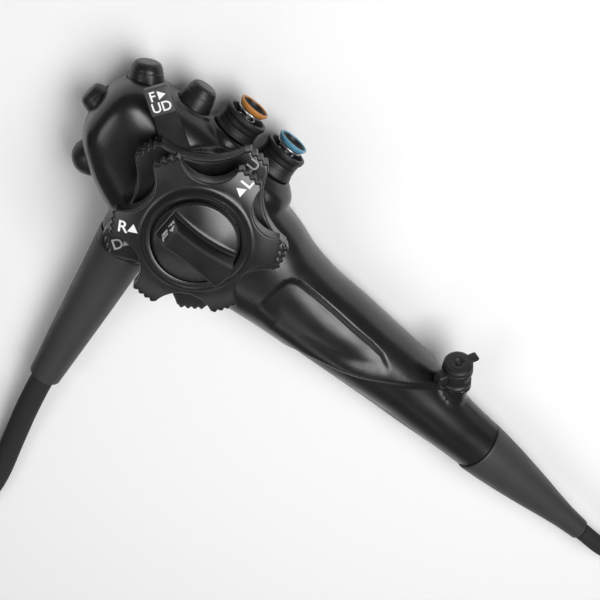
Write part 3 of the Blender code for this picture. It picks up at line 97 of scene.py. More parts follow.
# Moulded body: along, low side, high side, back, front and squareness of each section, in mm
BODY_SECTIONS = (
    (-53.6, -1.0, 11.0, 12.0, 25.0, 2.6),
    (-52.2, -5.6, 15.6, 6.6, 31.4, 2.7),
    (-49.0, -10.4, 20.4, 1.6, 36.0, 2.8),
    (-43.6, -15.6, 23.8, -1.2, 37.6, 2.9),
    (-33.6, -22.2, 25.4, -1.2, 37.6, 3.0),
    (-20.0, -28.1, 26.4, -1.2, 37.6, 3.0),
    (-4.0, -30.9, 25.6, -1.2, 37.6, 3.0),
    (14.0, -31.5, 22.2, -1.2, 37.6, 2.9),
    (28.0, -31.3, 17.4, -1.2, 37.6, 2.7),
    (40.0, -30.9, 14.4, -1.2, 37.6, 2.5),
    (52.0, -30.5, 10.3, -1.2, 36.8, 2.3),
    (66.0, -30.3, 7.7, -1.2, 36.2, 2.2),
    (82.0, -30.3, 6.7, -1.2, 36.0, 2.2),
    (98.0, -30.1, 5.2, -1.2, 35.2, 2.2),
    (112.0, -29.8, 4.3, 0.4, 34.4, 2.1),
    (132.0, -29.5, 1.7, 2.2, 33.0, 2.0),
    (152.0, -28.5, -1.9, 4.4, 31.5, 2.0),
    (167.5, -28.5, -3.5, 5.7, 30.7, 2.0),
)
HEAD_END = -53.6 * MM
SEAM = 40.0 * MM
SEAM_SPARE = 5.0 * MM
SEAM_GAP = 0.06 * MM
GRIP_END = 167.5 * MM
WALL = 2.4 * MM
GRIP_WALL = 5.2 * MM
DIAL_TOP = 38.8
DIAL_RADIUS = 24.0
DIAL_BORE = 12.3

# Valves: along, drop of the axis, top and root radius of the boss, in mm
VALVES = {
    "suction": (-6.0, 0.0, 27.4, 12.0),
    "air_water": (14.4, 0.7, 25.8, 15.8),
}
AXIS_HEIGHT = 18.5
VALVE_MOUTH = 31.4
VALVE_HEADING = Vector((0.0, 1.0, 0.0))
BOSS_TOP_RADIUS = 9.8
BOSS_FLARE = 7.0

# Remote switches: along, side, heading in degrees, radius and height, in mm
SWITCHES = {
    "front": (-24.4, 25.6, 95.0, 6.9, 9.4),
    "corner": (-43.8, 21.4, 119.0, 7.0, 8.2),
    "end": (-50.6, 4.2, 174.0, 6.3, 7.6),
    "thumb": (-41.0, -14.6, 229.0, 7.6, 8.8),
}

# Instrument port
PORT_FACE = Vector((125.9, 13.0, 31.2)) * MM
PORT_HEADING = Vector((-0.592, 0.673, 0.443)).normalized()
PORT_TAB_HEADING = Vector((0.562, 0.739, -0.372))
LID_RADIUS = 6.2
LID_THICKNESS = 2.4
PORT_RADIUS = 6.6
PORT_HEIGHT = 10.8
INLET_RADIUS = 3.7

# Boots, cords, bending section and connector
BOOT_START = Vector((167.8, -16.0, 18.2)) * MM
BOOT_END = Vector((237.3, -20.0, 17.0)) * MM
CORD_ROOT = Vector((-10.6, -33.6, 18.2)) * MM
CORD_TIP = Vector((2.0, -110.4, 13.0)) * MM
SOCKET_RADIUS = 7.9
NUT_RADIUS = 11.8
TUBE_DIAMETER = 8.0 * MM
CORD_DIAMETER = 10.0 * MM
TUBE_COIL_CENTRE = Vector((0.299, 0.020, 0.0))
TUBE_COIL_MIDDLE = 0.036
CORD_COIL_CENTRE = Vector((-0.054, -0.182, 0.0))
CORD_COIL_MIDDLE = 0.050
COIL_STEPS = 28
TUBE_RUN = ((0.2381, -0.02003, 0.01697), (0.245, -0.0205, 0.0166), (0.252, -0.0214, 0.015),
            (0.2585, -0.0222, 0.0122), (0.265, -0.0231, 0.0088), (0.271, -0.024, 0.0061),
            (0.2765, -0.0249, 0.0047), (0.2815, -0.0258, 0.00415), (0.2864, -0.0269, 0.0041))
TUBE_TAIL = ((0.273, 0.060, 0.0049), (0.2697, 0.060, 0.0047), (0.2664, 0.060, 0.0046),
             (0.26315, 0.060, 0.0046))
CORD_RUN = ((0.00208, -0.1109, 0.01297), (0.003, -0.1165, 0.0126), (0.0047, -0.124, 0.0116),
            (0.0071, -0.1335, 0.0096), (0.0098, -0.143, 0.0074), (0.0126, -0.1528, 0.0058),
            (0.0154, -0.1624, 0.0051), (0.01765, -0.17135, 0.0051), (0.0189, -0.1812, 0.0051),
            (0.0182, -0.1911, 0.0051), (0.0155, -0.2007, 0.0051), (0.0109, -0.2096, 0.0051),
            (0.0046, -0.2173, 0.0051), (-0.0031, -0.2236, 0.0051), (-0.0059, -0.22535, 0.0051))
CORD_TAIL = ((-0.1091, -0.1487, 0.0167), (-0.10905, -0.1445, 0.0177), (-0.109, -0.1402, 0.0185),
             (-0.109, -0.136, 0.0189), (-0.109, -0.1318, 0.019))
BEND_LINKS = 9
BEND_RADIUS = 4.3 * MM
BEND_BORE = 3.3 * MM
SIDEWAYS_HINGES = (2, 5, 8)
CONNECTOR_START = Vector((-109.0, -131.3, 19.0)) * MM
CONNECTOR_RADIUS = 19.0

# Camera, fitted to the object's outline
CAMERA_PLACE = Vector((-98.9, 154.9, 474.2)) * MM
CAMERA_RIGHT = Vector((0.7606, 0.6486, 0.0301))
CAMERA_UP = Vector((-0.5688, 0.6879, -0.4508))
CAMERA_BACK = Vector((-0.3131, 0.3258, 0.8921))
CAMERA_LENS = 74.25
FLOOR_HEIGHT = -0.4 * MM


def length_property(name, words, size):
    """A size in metres that a user may change."""
    return FloatProperty(name=name, description=words, default=size, min=0.0, unit="LENGTH", precision=5)


def colour_property(name, words, colour):
    return FloatVectorProperty(name=name, description=words, default=colour, size=3, subtype="COLOR",
                               min=0.0, max=1.0)


class EndoscopeStage(bpy.types.PropertyGroup):
    """Floor and lights."""

    floor_colour: colour_property("Floor", "Colour of the floor and the background", (0.93, 0.93, 0.93))
    key_power: FloatProperty(name="Key", description="Power of the large lamp overhead", default=5.0)
    side_power: FloatProperty(name="Side", description="Power of the long lamp beyond the cord", default=0.3)
    top_power: FloatProperty(name="Top", description="Power of the lamp over the cord's boot", default=0.9)
    sky_light: FloatProperty(name="Sky", description="Even light from all round", default=0.15)


class EndoscopeShell(bpy.types.PropertyGroup):
    """Moulded head and grip."""

    voxel: length_property("Voxel", "Size of the grid that blends the bosses into the shell", 0.62 * MM)
    smoothing: IntProperty(name="Smoothing", description="Rounds of smoothing after the blend", default=14)
    recess_depth: length_property("Recess", "Depth of the hollow for the fingers", 1.7 * MM)
    band_step: length_property("Band step", "Drop from the grip to the label band", 1.1 * MM)


class EndoscopeWheels(bpy.types.PropertyGroup):
    """Lobed angulation wheels."""

    ud_radius: length_property("UD radius", "Reach of the lower wheel's lobes", 35.3 * MM)
    ud_neck: length_property("UD neck", "Lower wheel's radius in its hollows", 25.6 * MM)
    rl_radius: length_property("RL radius", "Reach of the upper wheel's lobes", 31.5 * MM)
    rl_neck: length_property("RL neck", "Upper wheel's radius in its hollows", 22.4 * MM)
    lobe_width: length_property("Lobe width", "Width of a lobe's end", 10.6 * MM)
    tooth_depth: length_property("Tooth depth", "Depth of the notches in a lobe's end", 0.95 * MM)
    teeth: IntProperty(name="Teeth", description="Notches on each lobe", default=4)
    edge: length_property("Edge", "Rounding of the wheels' edges", 1.1 * MM)


class EndoscopeColours(bpy.types.PropertyGroup):
    """Colours of the finishes."""

    moulding: colour_property("Moulding", "Glossy black moulding", (0.006, 0.006, 0.0065))
    rubber: colour_property("Rubber", "Black rubber of buttons and rims", (0.012, 0.012, 0.013))
    boot: colour_property("Boot", "Dark grey rubber of the two boots", (0.040, 0.040, 0.041))
    skin: colour_property("Skin", "Skin of the tube and the cord", (0.014, 0.014, 0.015))
    steel: colour_property("Steel", "Stainless steel", (0.55, 0.55, 0.56))
    alloy: colour_property("Alloy", "Machined alloy", (0.50, 0.50, 0.52))
    dark_metal: colour_property("Dark metal", "Black anodised metal", (0.035, 0.035, 0.038))
    orange: colour_property("Orange", "Cap of the suction valve", (0.52, 0.21, 0.045))
    blue: colour_property("Blue", "Cap of the air and water valve", (0.11, 0.31, 0.44))
    mark: colour_property("Marks", "Printed letters and arrows on the upper knobs", (0.86, 0.86, 0.86))
    low_mark: colour_property("Low marks", "Printed letters and arrows on the lower wheel",
                              (0.34, 0.34, 0.34))


def new_object(name, data):
    item = bpy.data.objects.new(name, data)
    bpy.context.scene.collection.objects.link(item)
    return item


def closed_mesh(name, made):
    """Turn a bmesh into a mesh whose faces all look outward."""
    bmesh.ops.recalc_face_normals(made, faces=made.faces)
    mesh = bpy.data.meshes.new(name)
    made.to_mesh(mesh)
    made.free()
    return mesh


def seat(item, body, nodes):
    """Let an object ride on a body and stand for CAD nodes."""
    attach(item, body)
    if nodes:
        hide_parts(*nodes)
    return item


def place_piece(name, mesh, look, body, nodes=(), angle=32.0):
    """Make a smooth piece of a mesh, with its edges sharp above an angle in degrees."""
    mesh.shade_smooth()
    mesh.set_sharp_from_angle(angle=math.radians(angle))
    mesh.materials.clear()
    mesh.materials.append(finish(look))
    return seat(new_object(name, mesh), body, nodes)


def smooth_piece(name, made, look, body, nodes=(), angle=32.0):
    return place_piece(name, closed_mesh(name, made), look, body, nodes, angle)


def turned_piece(name, corners, look, body, slot, nodes=(), centre=(0, 0, 0), heading=UP, steps=72,
                 closed=False):
    return smooth_piece(name, turned(corners, centre, heading, steps, closed), look, body, nodes)


def wire_piece(name, points, radius, resolution, look, body, nodes):
    """A round wire or cord through the points."""
    curve = bpy.data.curves.new(name, "CURVE")
    curve.dimensions = "3D"
    curve.bevel_depth = radius
    curve.bevel_resolution = resolution
    curve.use_fill_caps = True
    spline = curve.splines.new("POLY")
    spline.points.add(len(points) - 1)
    for point, place in zip(spline.points, points):
        point.co = (*place, 1.0)
    spline.use_smooth = True
    curve.materials.append(finish(look))
    return seat(new_object(name, curve), body, nodes)


def heading_matrix(centre, heading):
    """A frame at a centre, with its own up along a heading."""
    turn = Vector(heading).to_track_quat("Z", "Y").to_matrix().to_4x4()
    return Matrix.Translation(Vector(centre)) @ turn


def on_axis(along, side):
    """A place in the plane of the valves' and the switches' axes, from mm."""
    return Vector((along, side, AXIS_HEIGHT)) * MM


def compass(degrees):
    return Vector((math.cos(math.radians(degrees)), math.sin(math.radians(degrees)), 0.0))


def rounded(corners):
    """Turn (radius, height, rounding) corners, in mm, into a profile in metres with curved corners."""
    corners = [[value * MM for value in corner] for corner in corners]
    profile = []
    last = len(corners) - 1
    for index, (radius, height, rounding) in enumerate(corners):
        point = Vector((radius, height))
        if rounding <= 0.0 or index in (0, last):
            profile.append(point)
            continue
        before = Vector(corners[index - 1][:2]) - point
        after = Vector(corners[index + 1][:2]) - point
        half = before.angle(after) / 2
        reach = min(rounding / max(math.tan(half), 0.01), 0.48 * before.length, 0.48 * after.length)
        start, end = point + before.normalized() * reach, point + after.normalized() * reach
        for step in range(6):
            share = step / 5
            profile.append(start * (1 - share) ** 2 + point * 2 * share * (1 - share) + end * share ** 2)
    return profile


def circle(count, start=0.0):
    """Cosines and sines of even steps round a circle."""
    angles = [2.0 * math.pi * (index + start) / count for index in range(count)]
    return [(math.cos(angle), math.sin(angle)) for angle in angles]


def turned(corners, centre=(0, 0, 0), heading=UP, steps=72, closed=False):
    """Turn a rounded profile, listed down its outer side, round a heading."""
    matrix = heading_matrix(centre, heading)
    made = bmesh.new()
    rows = []
    for radius, height in rounded(corners):
        if radius < 0.01 * MM:
            rows.append([made.verts.new(matrix @ Vector((0.0, 0.0, height)))])
            continue
        rows.append([made.verts.new(matrix @ Vector((radius * side, radius * up, height)))
                     for side, up in circle(steps)])
    skin(made, rows, closed)
    return made


def rod(radius, bottom, top, centre, heading, steps=64, edge=0.0):
    corners = [(0.0, top, 0), (radius, top, edge), (radius, bottom, 0), (0.0, bottom, 0)]
    return turned(corners, centre, heading, steps)


def skin(made, rows, closed=False):
    """Join rows of vertices, where a row of one vertex is a pole."""
    pairs = list(zip(rows, rows[1:]))
    if closed:
        pairs.append((rows[-1], rows[0]))
    for upper, lower in pairs:
        count = max(len(upper), len(lower))
        if count == 1:
            continue
        for index in range(count):
            after = (index + 1) % count
            ring = (upper[index % len(upper)], lower[index % len(lower)], lower[after % len(lower)],
                    upper[after % len(upper)])
            made.faces.new(list(dict.fromkeys(ring)))


def lofted(rings, looped=False):
    """Skin a run of rings and close its two ends, or loop it round."""
    made = bmesh.new()
    rows = [[made.verts.new(point) for point in ring] for ring in rings]
    skin(made, rows, looped)
    if not looped:
        made.faces.new(rows[0])
        made.faces.new(rows[-1])
    return made


def rounded_box(size, matrix, edge=0.0, segments=4):
    made = bmesh.new()
    bmesh.ops.create_cube(made, size=MM)
    bmesh.ops.scale(made, vec=Vector(size), verts=made.verts)
    if edge > 0.0:
        bmesh.ops.bevel(made, geom=made.edges, offset=edge * MM, segments=segments, affect="EDGES",
                        profile=0.5)
    bmesh.ops.transform(made, matrix=matrix, verts=made.verts)
    return made


def join_into(made, other):
    mesh = closed_mesh("join", other)
    made.from_mesh(mesh)
    bpy.data.meshes.remove(mesh)


def working_object(name, made):
    """A bmesh as an object for modifiers, which is removed before the end."""
    return new_object(name, closed_mesh(name, made))


def baked_mesh(item, *helpers):
    """The mesh that an object's modifiers give. The object and its helpers are removed."""
    bpy.context.view_layer.update()
    graph = bpy.context.evaluated_depsgraph_get()
    mesh = bpy.data.meshes.new_from_object(item.evaluated_get(graph))
    for used in (item, *helpers):
        bpy.data.objects.remove(used)
    return mesh


def cut(item, helper, solver="EXACT"):
    step = item.modifiers.new("cut", "BOOLEAN")
    step.operation = "DIFFERENCE"
    step.solver = solver
    step.object = helper


def noise(nodes, links, coordinates, scale, detail=3.0, roughness=0.5):
    texture = nodes.new("ShaderNodeTexNoise")
    texture.inputs["Scale"].default_value = scale
    texture.inputs["Detail"].default_value = detail
    texture.inputs["Roughness"].default_value = roughness
    links.new(coordinates, texture.inputs["Vector"])
    return texture.outputs["Fac"]


def spread(nodes, links, source, low, high):
    """Spread a texture's middle range over two values."""
    made = nodes.new("ShaderNodeMapRange")
    made.inputs["From Min"].default_value = 0.3
    made.inputs["From Max"].default_value = 0.7
    made.inputs["To Min"].default_value = low
    made.inputs["To Max"].default_value = high
    links.new(source, made.inputs["Value"])
    return made.outputs["Result"]


def surface(name, colour, roughness, metallic, specular, grain, bump, mottle, vary, coat=0.0):
    """A finish with uneven gloss, slight mottling of its colour and a fine grain."""
    found = bpy.data.materials.get(name)
    if found is not None:
        return found
    made = bpy.data.materials.new(name)
    made.use_nodes = True
    nodes, links = made.node_tree.nodes, made.node_tree.links
    shader = nodes["Principled BSDF"]
    shader.inputs["Metallic"].default_value = metallic
    shader.inputs["Specular IOR Level"].default_value = specular
    shader.inputs["Coat Weight"].default_value = coat
    shader.inputs["Coat Roughness"].default_value = 0.12
    place = nodes.new("ShaderNodeTexCoord").outputs["Object"]
    blotches = noise(nodes, links, place, 90.0, 4.0)
    links.new(spread(nodes, links, blotches, roughness - vary, roughness + vary), shader.inputs["Roughness"])
    tint = nodes.new("ShaderNodeMix")
    tint.data_type = "RGBA"
    tint.inputs["A"].default_value = (*[value * (1.0 - mottle) for value in colour], 1.0)
    tint.inputs["B"].default_value = (*[min(value * (1.0 + mottle), 1.0) for value in colour], 1.0)
    links.new(noise(nodes, links, place, 240.0, 5.0, 0.6), tint.inputs["Factor"])
    links.new(tint.outputs["Result"], shader.inputs["Base Color"])
    relief = nodes.new("ShaderNodeBump")
    relief.inputs["Strength"].default_value = bump
    relief.inputs["Distance"].default_value = 0.1 * MM
    links.new(noise(nodes, links, place, grain, 2.0), relief.inputs["Height"])
    links.new(relief.outputs["Normal"], shader.inputs["Normal"])
    return made


# Looks: name of the colour or the colour itself, roughness, metallic, specular, grain, bump, mottle,
# vary and, for glass, coat
FINISHES = {
    "polished_moulding": ("moulding", 0.28, 0.0, 0.58, 3200.0, 0.03, 0.12, 0.05),
    "wheel_moulding": ("moulding", 0.30, 0.0, 0.62, 2600.0, 0.05, 0.12, 0.05),
    "tab_moulding": ((0.045, 0.045, 0.047), 0.42, 0.0, 0.5, 2200.0, 0.05, 0.12, 0.06),
    "band_moulding": ((0.008, 0.008, 0.009), 0.36, 0.0, 0.35, 3000.0, 0.02, 0.12, 0.06),
    "button_rubber": ("rubber", 0.36, 0.0, 0.45, 2400.0, 0.08, 0.12, 0.08),
    "rim_rubber": ("rubber", 0.44, 0.0, 0.4, 2000.0, 0.10, 0.12, 0.08),
    "boot_rubber": ("boot", 0.50, 0.0, 0.42, 1800.0, 0.12, 0.12, 0.06),
    "tube_skin": ("skin", 0.34, 0.0, 0.45, 1500.0, 0.04, 0.12, 0.05),
    "brushed_steel": ("steel", 0.26, 1.0, 0.5, 4200.0, 0.06, 0.12, 0.08),
    "machined_alloy": ("alloy", 0.36, 1.0, 0.5, 3600.0, 0.08, 0.12, 0.08),
    "dark_metal": ("dark_metal", 0.34, 0.85, 0.5, 3800.0, 0.05, 0.12, 0.07),
    "orange_plastic": ("orange", 0.38, 0.0, 0.5, 2400.0, 0.03, 0.08, 0.06),
    "blue_plastic": ("blue", 0.38, 0.0, 0.5, 2400.0, 0.03, 0.08, 0.06),
    "mark_paint": ("mark", 0.5, 0.0, 0.5, 5000.0, 0.03, 0.03, 0.06),
    "low_mark_paint": ("low_mark", 0.5, 0.0, 0.5, 5000.0, 0.03, 0.03, 0.06),
    "lens_glass": ((0.05, 0.06, 0.08), 0.06, 0.0, 0.8, 900.0, 0.0, 0.12, 0.02, 1.0),
}


def finish(look):
    """The material of a look in the table."""
    colour, *values = FINISHES[look]
    if isinstance(colour, str):
        colour = getattr(bpy.context.scene.endoscope_colours, colour)
    return surface(look, colour, *values)


def area_lamp(name, place, aim, width, height, power):
    lamp = bpy.data.lights.new(name, "AREA")
    lamp.shape = "RECTANGLE"
    lamp.size = width
    lamp.size_y = height
    lamp.energy = power
    item = new_object(name, lamp)
    item.location = place
    item.rotation_euler = (Vector(aim) - Vector(place)).to_track_quat("-Z", "Y").to_euler()


class ENDOSCOPE_OT_stage(bpy.types.Operator):
    """Make the camera, the floor, the lamps and the sky"""

    bl_idname = "endoscope.stage"
    bl_label = "Stage"

    def execute(self, context):
        stage = context.scene.endoscope_stage
        self.add_camera(context)
        self.add_floor(stage)
        self.add_sky(context, stage)
        area_lamp("key_lamp", (0.20, 0.24, 0.68), (0.03, 0.0, 0.03), 0.55, 0.38, stage.key_power)
        area_lamp("side_lamp", (0.22, -0.43, 0.50), (0.03, 0.0, 0.03), 0.50, 0.15, stage.side_power)
        area_lamp("top_lamp", (-0.30, -0.25, 0.62), (0.0, 0.0, 0.03), 0.34, 0.30, stage.top_power)
        context.scene.view_settings.view_transform = "Standard"
        return {"FINISHED"}

    def add_camera(self, context):
        camera = bpy.data.cameras.new("camera")
        camera.lens = CAMERA_LENS
        camera.sensor_width = 36.0
        camera.clip_start = 0.01
        item = new_object("camera", camera)
        turn = Matrix((CAMERA_RIGHT, CAMERA_UP, CAMERA_BACK)).transposed().to_4x4()
        item.matrix_world = Matrix.Translation(CAMERA_PLACE) @ turn
        context.scene.camera = item

    def add_floor(self, stage):
        made = bmesh.new()
        bmesh.ops.create_grid(made, x_segments=8, y_segments=8, size=4.0)
        mesh = bpy.data.meshes.new("floor")
        made.to_mesh(mesh)
        made.free()
        floor = new_object("floor", mesh)
        floor.location.z = FLOOR_HEIGHT
        mesh.materials.append(surface("floor_paint", stage.floor_colour, 0.75, 0.0, 0.1, 400.0, 0.0, 0.01,
                                      0.03))

    def add_sky(self, context, stage):
        world = bpy.data.worlds.new("sky")
        context.scene.world = world
        world.use_nodes = True
        even = world.node_tree.nodes["Background"]
        even.inputs["Color"].default_value = (1.0, 1.0, 1.0, 1.0)
        even.inputs["Strength"].default_value = stage.sky_light


def smooth_step(share, start, leave, end, meet):
    """A curve from start to end, left and met at two slopes."""
    square, cube = share ** 2, share ** 3
    return ((2 * cube - 3 * square + 1) * start + (cube - 2 * square + share) * leave
            + (3 * square - 2 * cube) * end + (cube - square) * meet)


def bridge(start, heading, end, end_heading, count):
    """A smooth joint between two stretches, left and met along their headings."""
    reach = 1.06 * (end - start).length
    leave, meet = heading.normalized() * reach, end_heading.normalized() * reach
    return [smooth_step(step / count, start, leave, end, meet) for step in range(1, count)]


def coil_turns(centre, middle, diameter, start, turns, sense):
    """Turns that lie two wide and two high, each a quarter further round the bundle than the last."""
    ring = 1.03 * diameter / math.sqrt(2.0)
    count = round(turns * COIL_STEPS)
    points = []
    for step in range(count + 1):
        swept = 2.0 * math.pi * turns * step / count
        phase = -math.pi / 4 - swept / 4
        lift = 0.8 + 0.2 * math.cos(2.0 * phase) ** 2
        angle = start + sense * swept
        reach = middle + ring * math.cos(phase)
        height = diameter / 2 + ring * (lift + math.sin(phase))
        points.append(centre + Vector((reach * math.cos(angle), reach * math.sin(angle), height)))
    return points


def evened(points, spacing):
    """Read a smooth curve through the points at an even spacing."""
    knots = [2 * points[0] - points[1], *points, 2 * points[-1] - points[-2]]
    dense = []
    for before, first, second, after in zip(knots, knots[1:], knots[2:], knots[3:]):
        for step in range(8):
            dense.append(smooth_step(step / 8, first, (second - before) / 2, second, (after - first) / 2))
    dense.append(points[-1])
    picked = [dense[0]]
    walked, due = 0.0, spacing
    for first, second in zip(dense, dense[1:]):
        step = (second - first).length
        while walked + step >= due:
            picked.append(first.lerp(second, (due - walked) / max(step, 1e-9)))
            due += spacing
        walked += step
    if (picked[-1] - dense[-1]).length < 0.5 * spacing:
        picked.pop()
    picked.append(dense[-1])
    return picked


def cord_skin(name, route, diameter, nodes):
    points = evened(route, 0.45 * diameter)
    return wire_piece(name, points, diameter / 2, 7, "tube_skin", HOUSING, nodes)


def wound_route(run, centre, middle, diameter, start, turns, sense, tail):
    """The run, the coil and the tail, joined smoothly."""
    run = [Vector(point) for point in run]
    tail = [Vector(point) for point in tail]
    coil = coil_turns(centre, middle, diameter, math.radians(start), turns, sense)
    joint = bridge(run[-1], run[-1] - run[-2], coil[0], coil[1] - coil[0], 6)
    leaving = bridge(coil[-1], coil[-1] - coil[-2], tail[0], tail[1] - tail[0], 5)
    return run + joint + coil + leaving + tail


class ENDOSCOPE_OT_cords(bpy.types.Operator):
    """Lay the insertion tube and the light guide cord, with their unseen length in coils"""

    bl_idname = "endoscope.cords"
    bl_label = "Cords"

    def execute(self, context):
        route = wound_route(TUBE_RUN, TUBE_COIL_CENTRE, TUBE_COIL_MIDDLE, TUBE_DIAMETER, -20.0, 3.32, 1,
                            TUBE_TAIL)
        tube = cord_skin("insertion_tube_skin", route, TUBE_DIAMETER,
                         ("insertion_tube", "insertion_tube_coil", "insertion_tube_end"))
        bending = ["bend_base_collar", "tip_body", "objective_glass", "light_glass"]
        bending += ["bend_ring_%d" % index for index in range(1, BEND_LINKS + 1)]
        route = wound_route(CORD_RUN, CORD_COIL_CENTRE, CORD_COIL_MIDDLE, CORD_DIAMETER, -100.0, 3.17, -1,
                            CORD_TAIL)
        cord = cord_skin("light_guide_cord_skin", route, CORD_DIAMETER,
                         ("light_guide_cord", "light_guide_cord_coil", "light_guide_cord_end"))
        return {"FINISHED"}


def ring_link(start, start_hinge, end, end_hinge):
    """A ring from one pivot to the next, with an edge that slopes off from each pivot line."""
    slope = math.tan(math.radians(17.6))
    rounding = 0.35 * MM

    def edge(centre, direction, radius, hinge, inward=0.0):
        ring = []
        for across, rise in circle(48):
            side, up = radius * across, radius * rise
            lean = {"upright": abs(side), "level": abs(up), "flat": 0.0}[hinge] * slope
            ring.append(centre + Vector((direction * (FIT * MM / 2 + lean + inward), side, up)))
        return ring

    waist = [(start + end) / 2 + Vector((0.0, across, rise)) * (BEND_RADIUS - 0.25 * MM)
             for across, rise in circle(48)]
    rings = [edge(start, -1, BEND_RADIUS - rounding, start_hinge),
             edge(start, -1, BEND_RADIUS, start_hinge, rounding),
             edge(start, -1, BEND_RADIUS, start_hinge, 2 * rounding), waist,
             edge(end, 1, BEND_RADIUS, end_hinge, 2 * rounding),
             edge(end, 1, BEND_RADIUS, end_hinge, rounding),
             edge(end, 1, BEND_RADIUS - rounding, end_hinge), edge(end, 1, BEND_BORE, end_hinge),
             edge(start, -1, BEND_BORE, start_hinge)]
    return lofted(rings, looped=True)


class ENDOSCOPE_OT_bending_section(bpy.types.Operator):
    """Build the bending section's rings and the tip with its lenses"""

    bl_idname = "endoscope.bending_section"
    bl_label = "Bending Section"

    def execute(self, context):
        pivots = [Vector((0.258 - 0.0072 * index, 0.060, 0.0046)) for index in range(BEND_LINKS + 1)]
        hinges = ["level" if index in SIDEWAYS_HINGES else "upright" for index in range(1, BEND_LINKS + 1)]
        hinges.append("flat")
        base = pivots[0] + Vector((0.005, 0.0, 0.0))
        made = ring_link(base, "flat", pivots[0], hinges[0])
        smooth_piece("bend_base_collar", made, "dark_metal", HOUSING, ("bend_base",))
        for index in range(BEND_LINKS):
            made = ring_link(pivots[index], hinges[index], pivots[index + 1], hinges[index + 1])
            smooth_piece("bend_ring_%d" % (index + 1), made, "rim_rubber", "bend_%d" % (index + 1),
                         ("bend_link_%d" % (index + 1),))
        self.add_tip(pivots[-1])
        return {"FINISHED"}

    def add_tip(self, start):
        body = "bend_%d" % BEND_LINKS
        face, radius, waist = 11.0, 4.5, BEND_RADIUS / MM
        heading = Vector((-1.0, 0.0, 0.0))
        corners = [(0.0, face, 0.0), (radius, face, 0.7), (radius, 3.0, 0.3), (waist, 2.0, 0.2),
                   (waist, FIT / 2, 0.2), (0.0, FIT / 2, 0.0)]
        tip = working_object("tip", turned(corners, start, heading, 64))
        helpers = []
        lenses = (("objective_glass", 1.6, 0.9, 1.2, "objective_lens"),
                  ("light_glass", 1.2, -2.4, 0.8, "light_lens"))
        for name, up, side, wide, node in lenses:
            centre = start + Vector((-face, side, up)) * MM
            helpers.append(working_object("pocket", rod(wide + FIT, -1.4, 1.0, centre, heading, 32)))
            dome = [(0.0, 0.0, 0), (0.6 * wide, -0.04, 0), (wide, -0.3, 0.1), (wide, -1.1, 0), (0.0, -1.1, 0)]
            turned_piece(name, dome, "lens_glass", body, "lens_glass", (node,), centre, heading, 40)
        mouth = start + Vector((-face, -0.4, -2.2)) * MM
        helpers.append(working_object("channel", rod(1.4, -8.0, 2.0, mouth, heading, 32)))
        for helper in helpers:
            cut(tip, helper)
        place_piece("tip_body", baked_mesh(tip, *helpers), "dark_metal", body, ("distal_tip",))


class ENDOSCOPE_OT_connector(bpy.types.Operator):
    """Build the plug for the light source, at the end of the light guide cord"""

    bl_idname = "endoscope.connector"
    bl_label = "Connector"

    def execute(self, context):
        start, wide, heading = CONNECTOR_START, CONNECTOR_RADIUS, (0, 1, 0)
        boot = [(0.0, 22.0, 0), (12.0, 22.0, 0.6), (12.0, 18.0, 2.0), (9.0, 12.0, 6.0), (7.0, 2.0, 1.0),
                (6.6, 0.0, 0.5), (0.0, 0.0, 0)]
        turned_piece("connector_sleeve", boot, "boot_rubber", HOUSING, "black_rubber", ("connector_boot",),
                     start, heading)
        high = 80.3
        body = [(0.0, high, 0), (wide - 4.4, high, 1.2), (wide - 4.0, high - 12.0, 0.6),
                (wide, high - 14.0, 3.0), (wide, 36.3, 6.0), (wide - 5.0, 23.3, 1.5),
                (wide - 6.0, 22.3, 0.5), (0.0, 22.3, 0)]
        turned_piece("connector_shell", body, "polished_moulding", HOUSING, "black_moulding",
                     ("connector_body",), start, heading)
        guide = [(0.0, 106.6, 0), (5.0, 106.6, 0.6), (5.0, 83.6, 0.3), (7.0, 82.6, 0.4), (7.0, 80.6, 0.3),
                 (0.0, 80.6, 0)]
        turned_piece("guide_rod", guide, "brushed_steel", HOUSING, "steel", ("light_guide_rod",), start,
                     heading)
        pipe = [(0.0, 94.6, 0), (1.6, 94.6, 0.4), (1.6, 80.6, 0), (0.0, 80.6, 0)]
        turned_piece("air_stub", pipe, "brushed_steel", HOUSING, "steel", ("air_pipe",),
                     start + Vector((9.8, 0.0, 4.0)) * MM, heading)
        socket = [(0.0, 5.2, 0), (5.6, 5.2, 0.4), (6.2, 7.0, 0.4), (7.6, 7.0, 0.6), (8.0, 6.2, 0.4),
                  (8.0, 0.0, 0), (0.0, 0.0, 0)]
        side = start + Vector((wide + 0.3, 52.3, 0.0)) * MM
        turned_piece("signal_port", socket, "rim_rubber", HOUSING, "black_rubber", ("signal_socket",), side,
                     (1, 0, 0))
        return {"FINISHED"}


def body_section(along):
    """Read the sections as a smooth curve at one place along the body."""
    rows = BODY_SECTIONS
    index = 0
    while index < len(rows) - 2 and along > rows[index + 1][0] * MM:
        index += 1
    before, first = rows[max(index - 1, 0)], rows[index]
    second, after = rows[index + 1], rows[min(index + 2, len(rows) - 1)]
    span = second[0] - first[0]
    share = min(max((along / MM - first[0]) / span, 0.0), 1.0)
    values = []
    for column in range(1, len(first)):
        start, end = first[column], second[column]
        slope_in = (end - before[column]) / (second[0] - before[0]) * span
        slope_out = (after[column] - start) / (after[0] - first[0]) * span
        values.append(smooth_step(share, start, slope_in, end, slope_out))
    return [value * MM for value in values[:4]] + [values[4]]


def signed_power(value, power):
    return math.copysign(abs(value) ** power, value)


